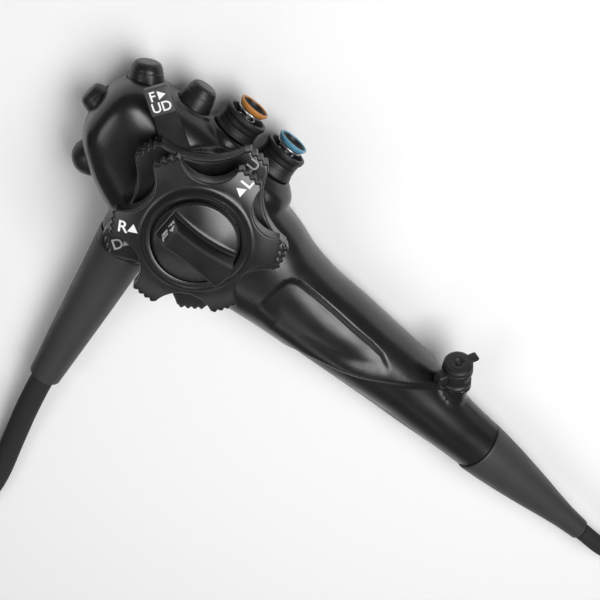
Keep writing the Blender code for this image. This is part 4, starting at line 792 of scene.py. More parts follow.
def body_ring(along, inset=0.0, count=96):
    low, high, back, front, squareness = body_section(along)
    half_side, half_depth = (high - low) / 2 - inset, (front - back) / 2 - inset
    ring = []
    for side, rise in circle(count, 0.5):
        across = (high + low) / 2 + half_side * signed_power(side, 2.0 / squareness)
        up = (front + back) / 2 + half_depth * signed_power(rise, 2.0 / squareness)
        ring.append(Vector((along, across, max(up, inset))))
    return ring


def body_rings(start, end, count, crowding=1.0, inset=0.0, points=96):
    places = [start + (end - start) * (index / (count - 1)) ** crowding for index in range(count)]
    return [body_ring(along, inset, points) for along in places]


def blended(name, made, sizes):
    """Melt overlapping closed forms into one skin with soft joints."""
    item = working_object(name, made)
    melt = item.modifiers.new("melt", "REMESH")
    melt.mode = "VOXEL"
    melt.voxel_size = sizes.voxel
    soften = item.modifiers.new("soften", "SMOOTH")
    soften.factor = 0.5
    soften.iterations = sizes.smoothing
    return baked_mesh(item)


def hollowed(name, mesh, cutters):
    """Cut the cavity and the bores from a skin."""
    item = new_object(name, mesh)
    helpers = [working_object("cutter", made) for made in cutters]
    for helper in helpers:
        cut(item, helper, solver="MANIFOLD")
    return baked_mesh(item, *helpers)


def seam_block(along, side):
    """A block that cuts a shell off flat at the seam, on one side of it."""
    matrix = Matrix.Translation((along + side * 20 * MM, 0.0, 20 * MM))
    return rounded_box((40, 120, 120), matrix)


class ENDOSCOPE_OT_head_shell(bpy.types.Operator):
    """Blend the head's moulding with its dial, valve, switch and cord bosses"""

    bl_idname = "endoscope.head_shell"
    bl_label = "Head Shell"

    def execute(self, context):
        sizes = context.scene.endoscope_shell
        made = lofted(body_rings(HEAD_END, SEAM + SEAM_SPARE, 60, 1.3))
        join_into(made, rod(DIAL_RADIUS, 20, DIAL_TOP, (0, 0, 0), UP, 96, 0.8))
        for along, drop, top, wide in VALVES.values():
            swell = wide - BOSS_TOP_RADIUS
            corners = [(0.0, top, 0), (BOSS_TOP_RADIUS, top, 0.3),
                       (BOSS_TOP_RADIUS + 0.25 * swell, top - 0.15 * BOSS_FLARE, 1.5),
                       (BOSS_TOP_RADIUS + 0.8 * swell, top - 0.55 * BOSS_FLARE, 2.0),
                       (wide, top - BOSS_FLARE, 2.0), (wide, 5.6, 0), (0.0, 5.6, 0)]
            join_into(made, turned(corners, on_axis(along, -drop), VALVE_HEADING))
        for along, side, heading, radius, _ in SWITCHES.values():
            join_into(made, rod(radius + 1.6, -6, 0.9, on_axis(along, side), compass(heading), 64, 0.6))
        lead = CORD_TIP - CORD_ROOT
        join_into(made, rod(NUT_RADIUS, -16, 0.0, CORD_ROOT, lead, 72, 0.6))
        mesh = blended("head", made, sizes)
        cavity = lofted(body_rings(HEAD_END + 1.3 * WALL, SEAM + 2 * WALL, 24, 1.2, WALL, 48))
        bores = [cavity, rod(DIAL_BORE, 18, DIAL_TOP + 2, (0, 0, 0), UP)]
        for along, drop, top, _ in VALVES.values():
            bores.append(rod(8.0, 0.0, top + 2, on_axis(along, -drop), VALVE_HEADING))
        for along, side, heading, radius, _ in SWITCHES.values():
            bores.append(rod(radius + FIT, -12, 6, on_axis(along, side), compass(heading)))
        bores.append(rod(SOCKET_RADIUS, -20, 3, CORD_ROOT, lead))
        bores.append(seam_block(SEAM, 1))
        mesh = hollowed("head", mesh, bores)
        place_piece("head_shell", mesh, "polished_moulding", HOUSING, ("head_cover",), 40.0)
        return {"FINISHED"}


# Hollow for the fingers, in plan, in mm: its crisp edges and the side that fades out, then the
# label band's edge
RECESS_EDGE = ((42.6, -18.0), (43.2, -8.0), (44.2, -2.2), (46.6, 0.6), (50.6, 1.5), (60.0, 1.0), (71.7, 0.1),
               (82.0, -0.8), (92.0, -1.5), (99.0, -2.6), (105.0, -5.6), (109.4, -10.6))
RECESS_SIDE = ((109.4, -10.6), (104.0, -15.2), (97.0, -18.6), (90.0, -21.2), (78.0, -23.6), (66.0, -25.0),
               (54.0, -24.6), (42.6, -18.0))
BAND_EDGE = ((58.0, -36.0), (64.0, -30.4), (70.0, -26.6), (78.0, -24.0), (90.8, -21.7), (98.0, -19.4),
             (104.3, -16.3), (113.3, -11.5), (120.9, -7.3), (131.7, -2.1), (139.1, 2.3), (150.0, 9.0))
RECESS_AREA = RECESS_EDGE + RECESS_SIDE[1:-1]
BAND_AREA = BAND_EDGE + ((200.0, 12.0), (200.0, -60.0), (60.0, -60.0))
BAND_START = 58.0


def edge_distance(points, x, y):
    nearest = 1e9
    for (x0, y0), (x1, y1) in zip(points, points[1:]):
        length = (x1 - x0) ** 2 + (y1 - y0) ** 2
        share = min(max(((x - x0) * (x1 - x0) + (y - y0) * (y1 - y0)) / length, 0.0), 1.0)
        nearest = min(nearest, math.hypot(x - x0 - share * (x1 - x0), y - y0 - share * (y1 - y0)))
    return nearest


def inside_depth(outline, x, y):
    """Distance in from a closed outline's edge, below zero outside it."""
    closed = outline + outline[:1]
    inside = False
    for (x0, y0), (x1, y1) in zip(closed, closed[1:]):
        if (y0 > y) != (y1 > y) and x < (x1 - x0) * (y - y0) / (y1 - y0) + x0:
            inside = not inside
    nearest = edge_distance(closed, x, y)
    return nearest if inside else -nearest


def eased(value, low, high):
    share = min(max((value - low) / (high - low), 0.0), 1.0)
    return share * share * (3.0 - 2.0 * share)


def sink_grip_details(mesh, sizes):
    """Press the hollow for the fingers and the label band into the front of the grip."""
    normals = [vertex.normal.copy() for vertex in mesh.vertices]
    for vertex, outward in zip(mesh.vertices, normals):
        x, y, z = (value / MM for value in vertex.co)
        facing = eased(z, 17.0, 25.0)
        if facing <= 0.0:
            continue
        sunk = 0.0
        if inside_depth(RECESS_AREA, x, y) > 0.0:
            fade = eased(edge_distance(RECESS_SIDE, x, y), 0.0, 9.0)
            fade *= eased(x, 112.0, 90.0)
            sunk += sizes.recess_depth * eased(edge_distance(RECESS_EDGE, x, y), 0.0, 2.6) * fade
        if x > BAND_START:
            swell = eased(x, 70.0, 108.0) * eased(x, 150.0, 122.0)
            step = eased(inside_depth(BAND_AREA, x, y), -0.9 - 2.4 * swell, 0.4)
            sunk += sizes.band_step * (1.0 + swell) * step
        vertex.co -= outward * sunk * facing


def paint_band(item):
    """Give the faces inside the label band their own finish."""
    item.data.materials.append(finish("band_moulding"))
    for face in item.data.polygons:
        x, y, z = (value / MM for value in face.center)
        if x > BAND_START and z > 21.0 and face.normal.z > 0.1 and inside_depth(BAND_AREA, x, y) > 0.3:
            face.material_index = 1


def port_point(out):
    """A point on the port's axis, so many mm out from the face of the closed lid."""
    return PORT_FACE + PORT_HEADING * out * MM


class ENDOSCOPE_OT_grip_shell(bpy.types.Operator):
    """Blend the grip's moulding with the port's boss, and press in the hollow and the band"""

    bl_idname = "endoscope.grip_shell"
    bl_label = "Grip Shell"

    def execute(self, context):
        sizes = context.scene.endoscope_shell
        made = lofted(body_rings(SEAM - SEAM_SPARE, GRIP_END + 3 * MM, 60))
        top = -LID_THICKNESS - PORT_HEIGHT - 2 * FIT
        side = PORT_HEADING.cross(UP).normalized()
        across = side.cross(PORT_HEADING)
        rings = []
        for share, radius, shift in ((0.0, 6.5, 0.0), (0.04, 7.0, 0.0), (0.3, 7.8, 1.2), (0.65, 10.2, 4.6),
                                     (1.0, 13.0, 9.0)):
            centre = port_point(top - 20 * share) - Vector((shift, 0.0, 0.0)) * MM
            rings.append([centre + (side * out + across * rise) * radius * MM for out, rise in circle(64)])
        join_into(made, lofted(rings))
        mesh = blended("grip", made, sizes)
        sink_grip_details(mesh, sizes)
        lead = BOOT_END - BOOT_START
        cavity = lofted(body_rings(SEAM - 2 * WALL, GRIP_END - 5 * MM, 24, 1.0, GRIP_WALL, 48))
        bores = [cavity, rod(25, -FIT, 12, BOOT_START, lead), rod(SOCKET_RADIUS, -14, 3, BOOT_START, lead),
                 rod(INLET_RADIUS, -42, 0.0, PORT_FACE, PORT_HEADING),
                 rod(PORT_RADIUS + 2 * FIT, top + FIT, 12, PORT_FACE, PORT_HEADING),
                 seam_block(SEAM + SEAM_GAP, -1)]
        mesh = hollowed("grip", mesh, bores)
        paint_band(place_piece("grip_shell", mesh, "polished_moulding", HOUSING,
                               ("grip_cover",), 40.0))
        return {"FINISHED"}


def wheel_outline(radius, neck, lobes, first, sizes):
    """Round a lobed wheel: a notched lobe end, then a round hollow to the next lobe."""
    half_lobe = math.asin(sizes.lobe_width / 2 / radius)
    pitch = 2.0 * math.pi / lobes
    corner = pitch / 2 - half_lobe
    corner_out, corner_side = radius * math.cos(corner), radius * math.sin(corner)
    centre = (corner_out ** 2 + corner_side ** 2 - neck ** 2) / (2.0 * (corner_out - neck))
    bowl = centre - neck
    reach = math.atan2(corner_side, centre - corner_out)
    outline = []
    for lobe in range(lobes):
        tip = first + lobe * pitch
        count = sizes.teeth * 8
        for index in range(count + 1):
            share = index / count
            wave = 0.5 + 0.5 * math.cos(2.0 * math.pi * sizes.teeth * share)
            outline.append((radius, sizes.tooth_depth * wave ** 1.5,
                            tip - half_lobe + 2.0 * half_lobe * share))
        for index in range(1, 26):
            angle = -reach + 2.0 * reach * index / 26
            out, side = centre - bowl * math.cos(angle), bowl * math.sin(angle)
            outline.append((math.hypot(out, side), 0.0, tip + pitch / 2 + math.atan2(side, out)))
    return outline


def wheel_mesh(outline, stations, crown, collar):
    """Rings from the hub's foot, out under the wheel, round the rim, in over the crown and up the hub."""
    below, crowned, above = stations
    reach = max(radius for radius, _, _ in outline)
    rings = []
    for group, fall in ((below, 0.0), (crowned, crown), (above, 0.0)):
        for hub, share, height in group:
            cut_in = eased(share, 0.90, 1.0)
            ring = []
            for radius, notch, angle in outline:
                out = hub + (radius - notch * cut_in) * share
                drop = fall * max((out - collar) / (reach - collar), 0.0) ** 1.8
                ring.append(Vector((out * math.cos(angle), out * math.sin(angle), height - drop)))
            rings.append(ring)
    return lofted(rings, looped=True)


def rim_stations(bore, bottom, top, edge, collar):
    """Stations below the rim, and above it in to the collar."""
    inset = edge / (30 * MM)
    below = [(bore, 0.0, bottom), (HUB_RADIUS, 0.0, bottom), (HUB_RADIUS / 2, 0.5, bottom)]
    for step in range(5):
        angle = math.pi / 2 * step / 4
        below.append((0.0, 1 - inset * (1 - math.sin(angle)), bottom + edge * (1 - math.cos(angle))))
    crowned = []
    for step in range(7):
        angle = math.pi / 2 * step / 6
        crowned.append((0.0, 1 - inset * (1 - math.cos(angle)), top - edge * (1 - math.sin(angle))))
    for share in (0.93, 0.85, 0.7, 0.55, 0.4, 0.25, 0.12, 0.0):
        crowned.append((collar * (1 - share), (1 - inset) * share, top))
    return below, crowned


class ENDOSCOPE_OT_wheels(bpy.types.Operator):
    """Build the two lobed angulation wheels"""

    bl_idname = "endoscope.wheels"
    bl_label = "Angulation Wheels"

    def execute(self, context):
        sizes = context.scene.endoscope_wheels
        outline = wheel_outline(sizes.ud_radius, sizes.ud_neck, 5, math.radians(88.4), sizes)
        collar = HUB_RADIUS + 2 * MM
        below, crowned = rim_stations(UD_BORE, UD_LOW.z, UD_TOP, sizes.edge, collar)
        above = [(HUB_RADIUS + 0.6 * MM, 0.0, UD_TOP + 0.3 * MM),
                 (HUB_RADIUS, 0.0, UD_TOP + 1.2 * MM), (HUB_RADIUS - 0.4 * MM, 0.0, UD_HIGH.z - 0.6 * MM),
                 (HUB_RADIUS - 1.0 * MM, 0.0, UD_HIGH.z), (UD_BORE, 0.0, UD_HIGH.z)]
        made = wheel_mesh(outline, (below, crowned, above), 0.5 * MM, collar)
        smooth_piece("ud_wheel_body", made, "wheel_moulding", "ud_knob", ("ud_wheel",),
                     30.0)
        outline = wheel_outline(sizes.rl_radius, sizes.rl_neck, 6, math.radians(88.5), sizes)
        collar = 19.2 * MM
        recess = 16.2 * MM
        below, crowned = rim_stations(RL_BORE, RL_LOW.z, RL_TOP, sizes.edge, collar + 1.6 * MM)
        above = [(collar + 0.7 * MM, 0.0, RL_TOP + 0.25 * MM),
                 (collar, 0.0, RL_TOP + 0.9 * MM), (collar - 0.5 * MM, 0.0, RL_HIGH.z - 0.35 * MM),
                 (collar - 1.1 * MM, 0.0, RL_HIGH.z), (recess + 0.9 * MM, 0.0, RL_HIGH.z),
                 (recess + 0.3 * MM, 0.0, RL_HIGH.z - 0.25 * MM), (recess, 0.0, RL_HIGH.z - 0.9 * MM),
                 (recess, 0.0, RL_TOP), (RL_BORE, 0.0, RL_TOP)]
        made = wheel_mesh(outline, (below, crowned, above), 2.0 * MM, collar + 1.6 * MM)
        smooth_piece("rl_wheel_body", made, "wheel_moulding", "rl_knob", ("rl_wheel",),
                     30.0)
        return {"FINISHED"}


def scoop(side):
    """What is cut away beside the lock knob's bar, down to a wall, a round foot and a domed floor."""
    foot, far, dome, shoulder = 1.6, 19.0, 2.4, 1.6
    radius, top, floor = (size / MM for size in (KNOB_HIGH.y, KNOB_HIGH.z, KNOB_FLOOR))
    rings = []
    for along in range(-20, 21, 2):
        wall = 5.0 + along * math.tan(math.radians(1.6)) - 0.9 * (1 - (along / 14) ** 2)
        section = [(wall - 1.0, top + 2), (wall - 1.0, top), (wall - 0.35, top - 0.5),
                   (wall, top - shoulder)]
        for step in range(18):
            across = wall + (far - wall) * (step / 17) ** 1.5
            height = floor + dome * (1 - (along ** 2 + across ** 2) / radius ** 2)
            rise = foot * max(1 - (across - wall) / foot, 0.0) ** 2
            section.append((across, height + rise))
        section.append((far, top + 2))
        rings.append([Vector((along, side * across, height)) * MM for across, height in section])
    return lofted(rings)


# Foot and lean of the sloped face at the end of the bar
BAR_END = Vector((-13.2 * MM, 0.0, KNOB_FLOOR))
BAR_SLOPE = math.radians(13.0)


class ENDOSCOPE_OT_lock_knob(bpy.types.Operator):
    """Build the lock knob with its tapered bar"""

    bl_idname = "endoscope.lock_knob"
    bl_label = "Lock Knob"

    def execute(self, context):
        radius, top, floor, low = (size / MM for size in (KNOB_HIGH.y, KNOB_HIGH.z, KNOB_FLOOR, KNOB_LOW.z))
        corners = [(0.0, top, 0), (radius - 1.6, top, 0.9), (radius - 0.6, floor, 0.3),
                   (radius, floor - 0.8, 0.5), (radius, low, 0.2), (2.9, low, 0), (2.9, floor, 0),
                   (0.0, floor, 0)]
        knob = working_object("knob", turned(corners, steps=128))
        end = Matrix.Translation(BAR_END) @ Matrix.Rotation(BAR_SLOPE, 4, "Y")
        end = end @ Matrix.Translation(Vector((-radius, 0.0, 11.5)) * MM)
        helpers = [working_object("scoop", scoop(1)), working_object("scoop", scoop(-1)),
                   working_object("end", rounded_box((2 * radius, 3 * radius, 23.0), end, 0.6))]
        for helper in helpers:
            cut(knob, helper)
        item = new_object("knob", baked_mesh(knob, *helpers))
        soften = item.modifiers.new("soften", "BEVEL")
        soften.width = 0.45 * MM
        soften.segments = 4
        soften.limit_method = "ANGLE"
        soften.angle_limit = math.radians(38)
        mesh = baked_mesh(item)
        place_piece("rl_lock_knob_body", mesh, "wheel_moulding", "rl_lock",
                    ("rl_lock_knob",), 28.0)
        return {"FINISHED"}


class ENDOSCOPE_OT_lock_lever(bpy.types.Operator):
    """Build the lock lever with its raised tab"""

    bl_idname = "endoscope.lock_lever"
    bl_label = "Lock Lever"

    def execute(self, context):
        hub, reach, tab_length, tab_width = 18.0, 52.4, 10.4, 9.0
        bottom, thickness, edge = LEVER_LOW.z / MM, 2.4, 0.35
        root, tip = 5.4, 4.3
        start = math.asin(root / hub)
        points = [(hub * math.cos(angle), hub * math.sin(angle))
                  for angle in [start + (2 * math.pi - 2 * start) * index / 64 for index in range(65)]]
        points += [(reach - tab_length + 1, -tip), (reach - tab_length + 1, tip)]
        turn = Matrix.Rotation(LEVER_ANGLE, 4, "Z")
        rings = []
        for inset, height in ((edge, bottom), (0.0, bottom + edge), (0.0, bottom + thickness - edge),
                              (edge, bottom + thickness)):
            shrink = 1 - inset / hub
            rings.append([turn @ (Vector((x * shrink, y * shrink, height)) * MM) for x, y in points])
        lever = working_object("lever", lofted(rings))
        bore = working_object("bore", rod(8.6, bottom - 2, bottom + 9, (0, 0, 0), UP))
        cut(lever, bore)
        place_piece("ud_lock_arm", baked_mesh(lever, bore), "polished_moulding", "ud_lever",
                    ("ud_lock_lever",), 30.0)
        height = LEVER_HIGH.z / MM - bottom
        matrix = turn @ Matrix.Translation(Vector((reach - tab_length / 2, 0.0, bottom + height / 2)) * MM)
        made = rounded_box((tab_length, tab_width, height), matrix, 0.55)
        smooth_piece("ud_lock_tab", made, "tab_moulding", "ud_lever")
        return {"FINISHED"}


MARK_THICKNESS = 0.12 * MM


def letter_mesh(text, height):
    """Letters as a flat mesh, centred on the origin."""
    curve = bpy.data.curves.new("letters", "FONT")
    curve.body = text
    curve.size = height * 1.42
    curve.align_x = "CENTER"
    curve.align_y = "CENTER"
    curve.offset = 0.02 * height
    curve.resolution_u = 6
    return baked_mesh(new_object("letters", curve))


def mark_piece(name, marks, matrix, target, body, paint):
    """Lay marks on a surface: a text or None for an arrow, x, y and height in mm, and arrow turn."""
    made = bmesh.new()
    for text, x, y, height, turn in marks:
        x, y, height = x * MM, y * MM, height * MM
        if text is None:
            corners = [Vector((height * 0.62 * math.cos(turn + 2 * math.pi * index / 3) + x,
                               height * 0.62 * math.sin(turn + 2 * math.pi * index / 3) + y, 0.0))
                       for index in range(3)]
            made.faces.new([made.verts.new(corner) for corner in corners])
            continue
        mesh = letter_mesh(text, height)
        mesh.transform(Matrix.Translation((x, y, 0.0)))
        made.from_mesh(mesh)
        bpy.data.meshes.remove(mesh)
    bmesh.ops.subdivide_edges(made, edges=made.edges, cuts=1)
    bmesh.ops.triangulate(made, faces=made.faces)
    bmesh.ops.remove_doubles(made, verts=made.verts, dist=0.002 * MM)
    bmesh.ops.transform(made, matrix=matrix, verts=made.verts)
    graph = bpy.context.evaluated_depsgraph_get()
    tree = BVHTree.FromObject(target, graph)
    outward = (matrix.to_3x3() @ UP).normalized()
    for vertex in made.verts:
        place, _, _, _ = tree.ray_cast(vertex.co + outward * 6 * MM, -outward, 12 * MM)
        if place is not None:
            vertex.co = place + outward * 0.03 * MM
    faces = list(made.faces)
    bmesh.ops.recalc_face_normals(made, faces=faces)
    raised = bmesh.ops.extrude_face_region(made, geom=faces)
    lifted = [item for item in raised["geom"] if isinstance(item, bmesh.types.BMVert)]
    bmesh.ops.translate(made, verts=lifted, vec=outward * MARK_THICKNESS)
    return smooth_piece(name, made, paint, body, angle=20.0)


def mark_matrix(centre, reading, outward):
    """A frame for marks that read along one heading on a surface that looks another way."""
    outward = Vector(outward).normalized()
    reading = Vector(reading)
    reading = (reading - outward * reading.dot(outward)).normalized()
    turn = Matrix((reading, outward.cross(reading), outward)).transposed().to_4x4()
    return Matrix.Translation(Vector(centre)) @ turn


class ENDOSCOPE_OT_marks(bpy.types.Operator):
    """Lay the direction letters and arrows on the wheels, the tab and the knob"""

    bl_idname = "endoscope.marks"
    bl_label = "Marks"

    def execute(self, context):
        objects = context.scene.objects
        upward = math.pi / 2
        outward_reading = [("rl_mark_left", "rl_wheel_body", "rl_knob", 88.5, 26.6, RL_TOP, "L", 4.3, 0.0),
                           ("ud_mark_up", "ud_wheel_body", "ud_knob", 88.4, 30.0, UD_TOP, "U", 4.0, 0.0),
                           ("rl_mark_right", "rl_wheel_body", "rl_knob", 209.4, 24.8, RL_TOP, "R",
                            4.4, 180.0),
                           ("ud_mark_down", "ud_wheel_body", "ud_knob", 234.0, 29.1, UD_TOP, "D",
                            4.1, 180.0)]
        for name, target, body, lobe, out, height, letter, size, turn in outward_reading:
            paint = "mark_paint" if body == "rl_knob" else "low_mark_paint"
            centre = compass(lobe) * out * MM + Vector((0.0, 0.0, height))
            matrix = mark_matrix(centre, compass(lobe + turn), UP)
            first, second = (-0.42 * size, 0.44 * size)
            if turn == 0.0:
                marks = [(None, first, -0.02 * size, 0.8 * size, upward), (letter, second, 0.0, size, 0.0)]
            else:
                marks = [(letter, first, 0.0, size, 0.0), (None, second, -0.02 * size, 0.8 * size, upward)]
            mark_piece(name, marks, matrix, objects[target], body, paint)
        tab = Matrix.Rotation(LEVER_ANGLE, 4, "Z") @ Vector((47.2 * MM, 0.0, LEVER_HIGH.z))
        matrix = mark_matrix(tab, compass(55.4), UP)
        marks = [("F", -1.9, 2.1, 3.6, 0.0), (None, 1.1, 2.3, 3.1, 0.0), ("UD", 0.2, -2.2, 3.6, 0.0)]
        mark_piece("ud_lock_mark", marks, matrix, objects["ud_lock_tab"], "ud_lever", "mark_paint")
        outward = Vector((-math.cos(BAR_SLOPE), 0.0, math.sin(BAR_SLOPE)))
        face = BAR_END + outward.cross(Vector((0.0, -1.0, 0.0))) * 6.4 * MM
        matrix = mark_matrix(face, UP, outward)
        marks = [("RL", 0.3, -2.0, 3.0, 0.0), ("F", -1.6, 2.0, 3.0, 0.0), (None, 1.4, 2.0, 2.6, 0.0)]
        mark_piece("rl_lock_mark", marks, matrix, objects["rl_lock_knob_body"], "rl_lock", "mark_paint")
        return {"FINISHED"}


class ENDOSCOPE_OT_valves(bpy.types.Operator):
    """Build the two valves: cup, rim, cap, stem and spring"""

    bl_idname = "endoscope.valves"
    bl_label = "Valves"

    def execute(self, context):
        self.valve("suction", "orange_plastic", "orange_cap")
        self.valve("air_water", "blue_plastic", "blue_cap")
        return {"FINISHED"}

    def valve(self, name, cap_look, cap_slot):
        along, drop, lip, _ = VALVES[name]
        centre = on_axis(along, -drop)
        place = (centre, VALVE_HEADING)
        lip += FIT
        bore, foot, mouth = 5.6, 12.6, VALVE_MOUTH
        cup = [(bore, mouth, 0), (8.2, mouth, 0.2), (8.3, mouth - 0.8, 0.4), (8.5, 0.5 * (mouth + lip), 2.0),
               (9.3, lip + 0.6, 0.5), (9.1, lip, 0.2), (7.7, lip, 0), (7.7, foot, 0), (2.8, foot, 0),
               (2.8, foot + 2, 0), (bore, foot + 2, 0)]
        turned_piece(name + "_cup", cup, "rim_rubber", HOUSING, "dark_metal", (name + "_cylinder",), *place,
                     72, True)
        top = mouth + 5.0
        rim = [(7.4, top, 0.4), (8.8, top, 0.6), (8.8, top - 1.7, 0.8), (8.2, top - 2.8, 0.9),
               (8.2, mouth + FIT, 0.1), (6.3, mouth + FIT, 0), (6.3, mouth + 1.2, 0.3)]
        turned_piece(name + "_rim_bead", rim, "rim_rubber", HOUSING, "black_rubber", (name + "_rim",),
                     *place, 72, True)
        body = name + "_button"
        bottom, crest = ((corner.y - centre.y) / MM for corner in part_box(name + "_cap"))
        cap = [(0.0, crest - 2.0, 0), (5.0, crest - 2.0, 0.2), (5.5, crest - 0.1, 0.2), (5.8, crest, 0.2),
               (6.35, crest - 0.2, 0.3), (6.3, crest - 0.9, 0.3), (5.4, bottom + 0.1, 0.2), (0.0, bottom, 0)]
        turned_piece(name + "_cap_ring", cap, cap_look, body, cap_slot, (name + "_cap",), *place)
        # Dark rubber liner over the floor and the inner wall of the cap's hollow: painted shade that stands
        # in for the dark inside of the hollow
        shade_liner = [(0.0, crest - 1.7, 0), (4.6, crest - 1.7, 0.4), (5.2, crest - 0.4, 0),
                 (5.35, crest - 0.45, 0), (4.95, crest - 1.95, 0), (0.0, crest - 1.95, 0)]
        turned_piece(name + "_cap_inlay", shade_liner, "button_rubber", body, "black_rubber", (), *place)
        disc = bottom - FIT
        base = (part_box(name + "_piston")[0].y - centre.y) / MM
        collar = mouth - 4.0
        stem = [(0.0, disc, 0), (5.4, disc, 0.2), (5.4, disc - 0.8, 0.2), (3.0, disc - 0.9, 0.2),
                (2.2, disc - 1.4, 0.4), (2.2, collar, 0.3), (5.3, collar, 0.3), (5.3, collar - 2.2, 0.3),
                (4.2, collar - 2.6, 0.2), (4.2, base + 2.2, 0.2), (5.3, base + 1.8, 0.2), (5.3, base, 0.3),
                (0.0, base, 0)]
        turned_piece(name + "_stem", stem, "brushed_steel", body, "steel", (name + "_piston",), *place, 56)
        self.spring(name, centre, collar + FIT, disc - 1.2, body)

    def spring(self, name, centre, bottom, top, body):
        wire, radius, turns, per_turn = 0.35, 3.4, 4, 24
        matrix = heading_matrix(centre, VALVE_HEADING)
        points = []
        for index in range(turns * per_turn + 1):
            angle = 2.0 * math.pi * index / per_turn
            height = bottom + wire + (top - bottom - 2 * wire) * index / (turns * per_turn)
            points.append(matrix @ (Vector((radius * math.cos(angle), radius * math.sin(angle),
                                            height)) * MM))
        wire_piece(name + "_spring_wire", points, wire * MM, 3, "brushed_steel", body,
                   (name + "_spring",))


class ENDOSCOPE_OT_switches(bpy.types.Operator):
    """Build the remote switches: three stepped caps and the round one under the thumb"""

    bl_idname = "endoscope.switches"
    bl_label = "Remote Switches"

    def execute(self, context):
        for name, (along, side, heading, radius, height) in SWITCHES.items():
            foot = -3.0
            if name == "thumb":
                corners = [(0.0, height, 0)]
                for step in range(1, 12):
                    angle = math.radians(90.0 * step / 12)
                    lift = 1.0 - (1.0 - math.cos(angle)) ** 1.15
                    corners.append((radius * math.sin(angle), height * lift, 0))
                corners += [(radius, 0.6, 0.5), (radius, foot, 0), (0.0, foot, 0)]
            else:
                corners = [(0.0, height, 0), (0.58 * radius, height, 0.5),
                           (0.72 * radius, height * 0.93, 1.0), (0.84 * radius, height * 0.74, 1.2),
                           (0.87 * radius, height * 0.60, 0.4), (0.90 * radius, height * 0.58, 0.3),
                           (0.96 * radius, height * 0.30, 2.0), (radius, 0.5, 0.8), (radius, foot, 0),
                           (0.0, foot, 0)]
            turned_piece(name + "_switch_cap", corners, "button_rubber", name + "_button", "black_rubber",
                         (name + "_switch",), on_axis(along, side), compass(heading))
        return {"FINISHED"}


def port_side():
    """Across the port's axis, to the side of the lid where its tab is."""
    return (PORT_TAB_HEADING - PORT_HEADING * PORT_HEADING.dot(PORT_TAB_HEADING)).normalized()


def port_matrix(out, up):
    """A frame on the port, so many mm to the tab's side and up its axis."""
    side = port_side()
    turn = Matrix((side, PORT_HEADING.cross(side), PORT_HEADING)).transposed().to_4x4()
    return Matrix.Translation(port_point(up) + side * out * MM) @ turn


class ENDOSCOPE_OT_port(bpy.types.Operator):
    """Build the instrument port: inlet, rubber valve with its hook, and the lid"""

    bl_idname = "endoscope.port"
    bl_label = "Instrument Port"

    def execute(self, context):
        top = -LID_THICKNESS - FIT
        bottom = top - PORT_HEIGHT + FIT
        radius = PORT_RADIUS
        place = (PORT_FACE, PORT_HEADING)
        corners = [(1.4, top, 0), (radius - 0.2, top, 0.7), (radius, top - 2.8, 0.7),
                   (radius - 1.1, top - 3.8, 0.8), (radius - 0.9, bottom + 2.4, 0.9),
                   (radius, bottom + 1.6, 0.5), (radius, bottom, 0.3), (INLET_RADIUS, bottom, 0),
                   (INLET_RADIUS, top - 2.6, 0), (1.4, top - 2.6, 0)]
        turned_piece("port_valve_body", corners, "rim_rubber", HOUSING, "black_rubber", ("biopsy_valve",),
                     *place, 72, True)
        high = 0.58 * PORT_HEIGHT
        matrix = port_matrix(-radius - 1.0, top - 0.6 - high / 2)
        made = rounded_box((5.0, 0.8 * radius, high), matrix, 1.3, 6)
        smooth_piece("port_valve_hook", made, "rim_rubber", HOUSING)
        inlet = [(2.2, top - 3, 0), (3.4, top - 3, 0.2), (3.4, bottom - 14, 0), (2.2, bottom - 14, 0)]
        turned_piece("port_inlet_tube", inlet, "brushed_steel", HOUSING, "steel", ("channel_inlet",),
                     *place, 48, True)
        lid = [(0.0, -0.9, 0), (1.2, -0.85, 0.4), (2.2, -0.1, 0.4), (2.9, 0.0, 0.5),
               (LID_RADIUS - 1.1, -0.25, 0.6), (LID_RADIUS, -0.9, 0.5), (LID_RADIUS, -LID_THICKNESS, 0.3),
               (0.0, -LID_THICKNESS, 0)]
        turned_piece("port_lid_disc", lid, "rim_rubber", "port_lid", "black_rubber", ("biopsy_lid",), *place)
        matrix = port_matrix(LID_RADIUS, -0.5 * LID_THICKNESS)
        made = rounded_box((6.0, 4.2, 0.8 * LID_THICKNESS), matrix, 0.9, 5)
        smooth_piece("port_lid_tab", made, "rim_rubber", "port_lid")
        stud = [(0.0, -0.35, 0), (0.8, -0.5, 0.2), (1.0, -0.9, 0), (0.0, -1.0, 0)]
        turned_piece("port_lid_stud", stud, "dark_metal", "port_lid", "dark_metal", (), *place, 40)
        return {"FINISHED"}


def swept_profile(stations, length, root, tip):
    """Read (share of the length, share of the swell) stations as a smooth taper, from the tip down."""
    points = []
    for (first, swell_first), (second, swell_second) in zip(stations, stations[1:]):
        for step in range(6):
            share = first + (second - first) * step / 6
            swell = swell_first + (swell_second - swell_first) * step / 6
            points.append((tip + (root - tip) * swell, length * share, 0))
    return points


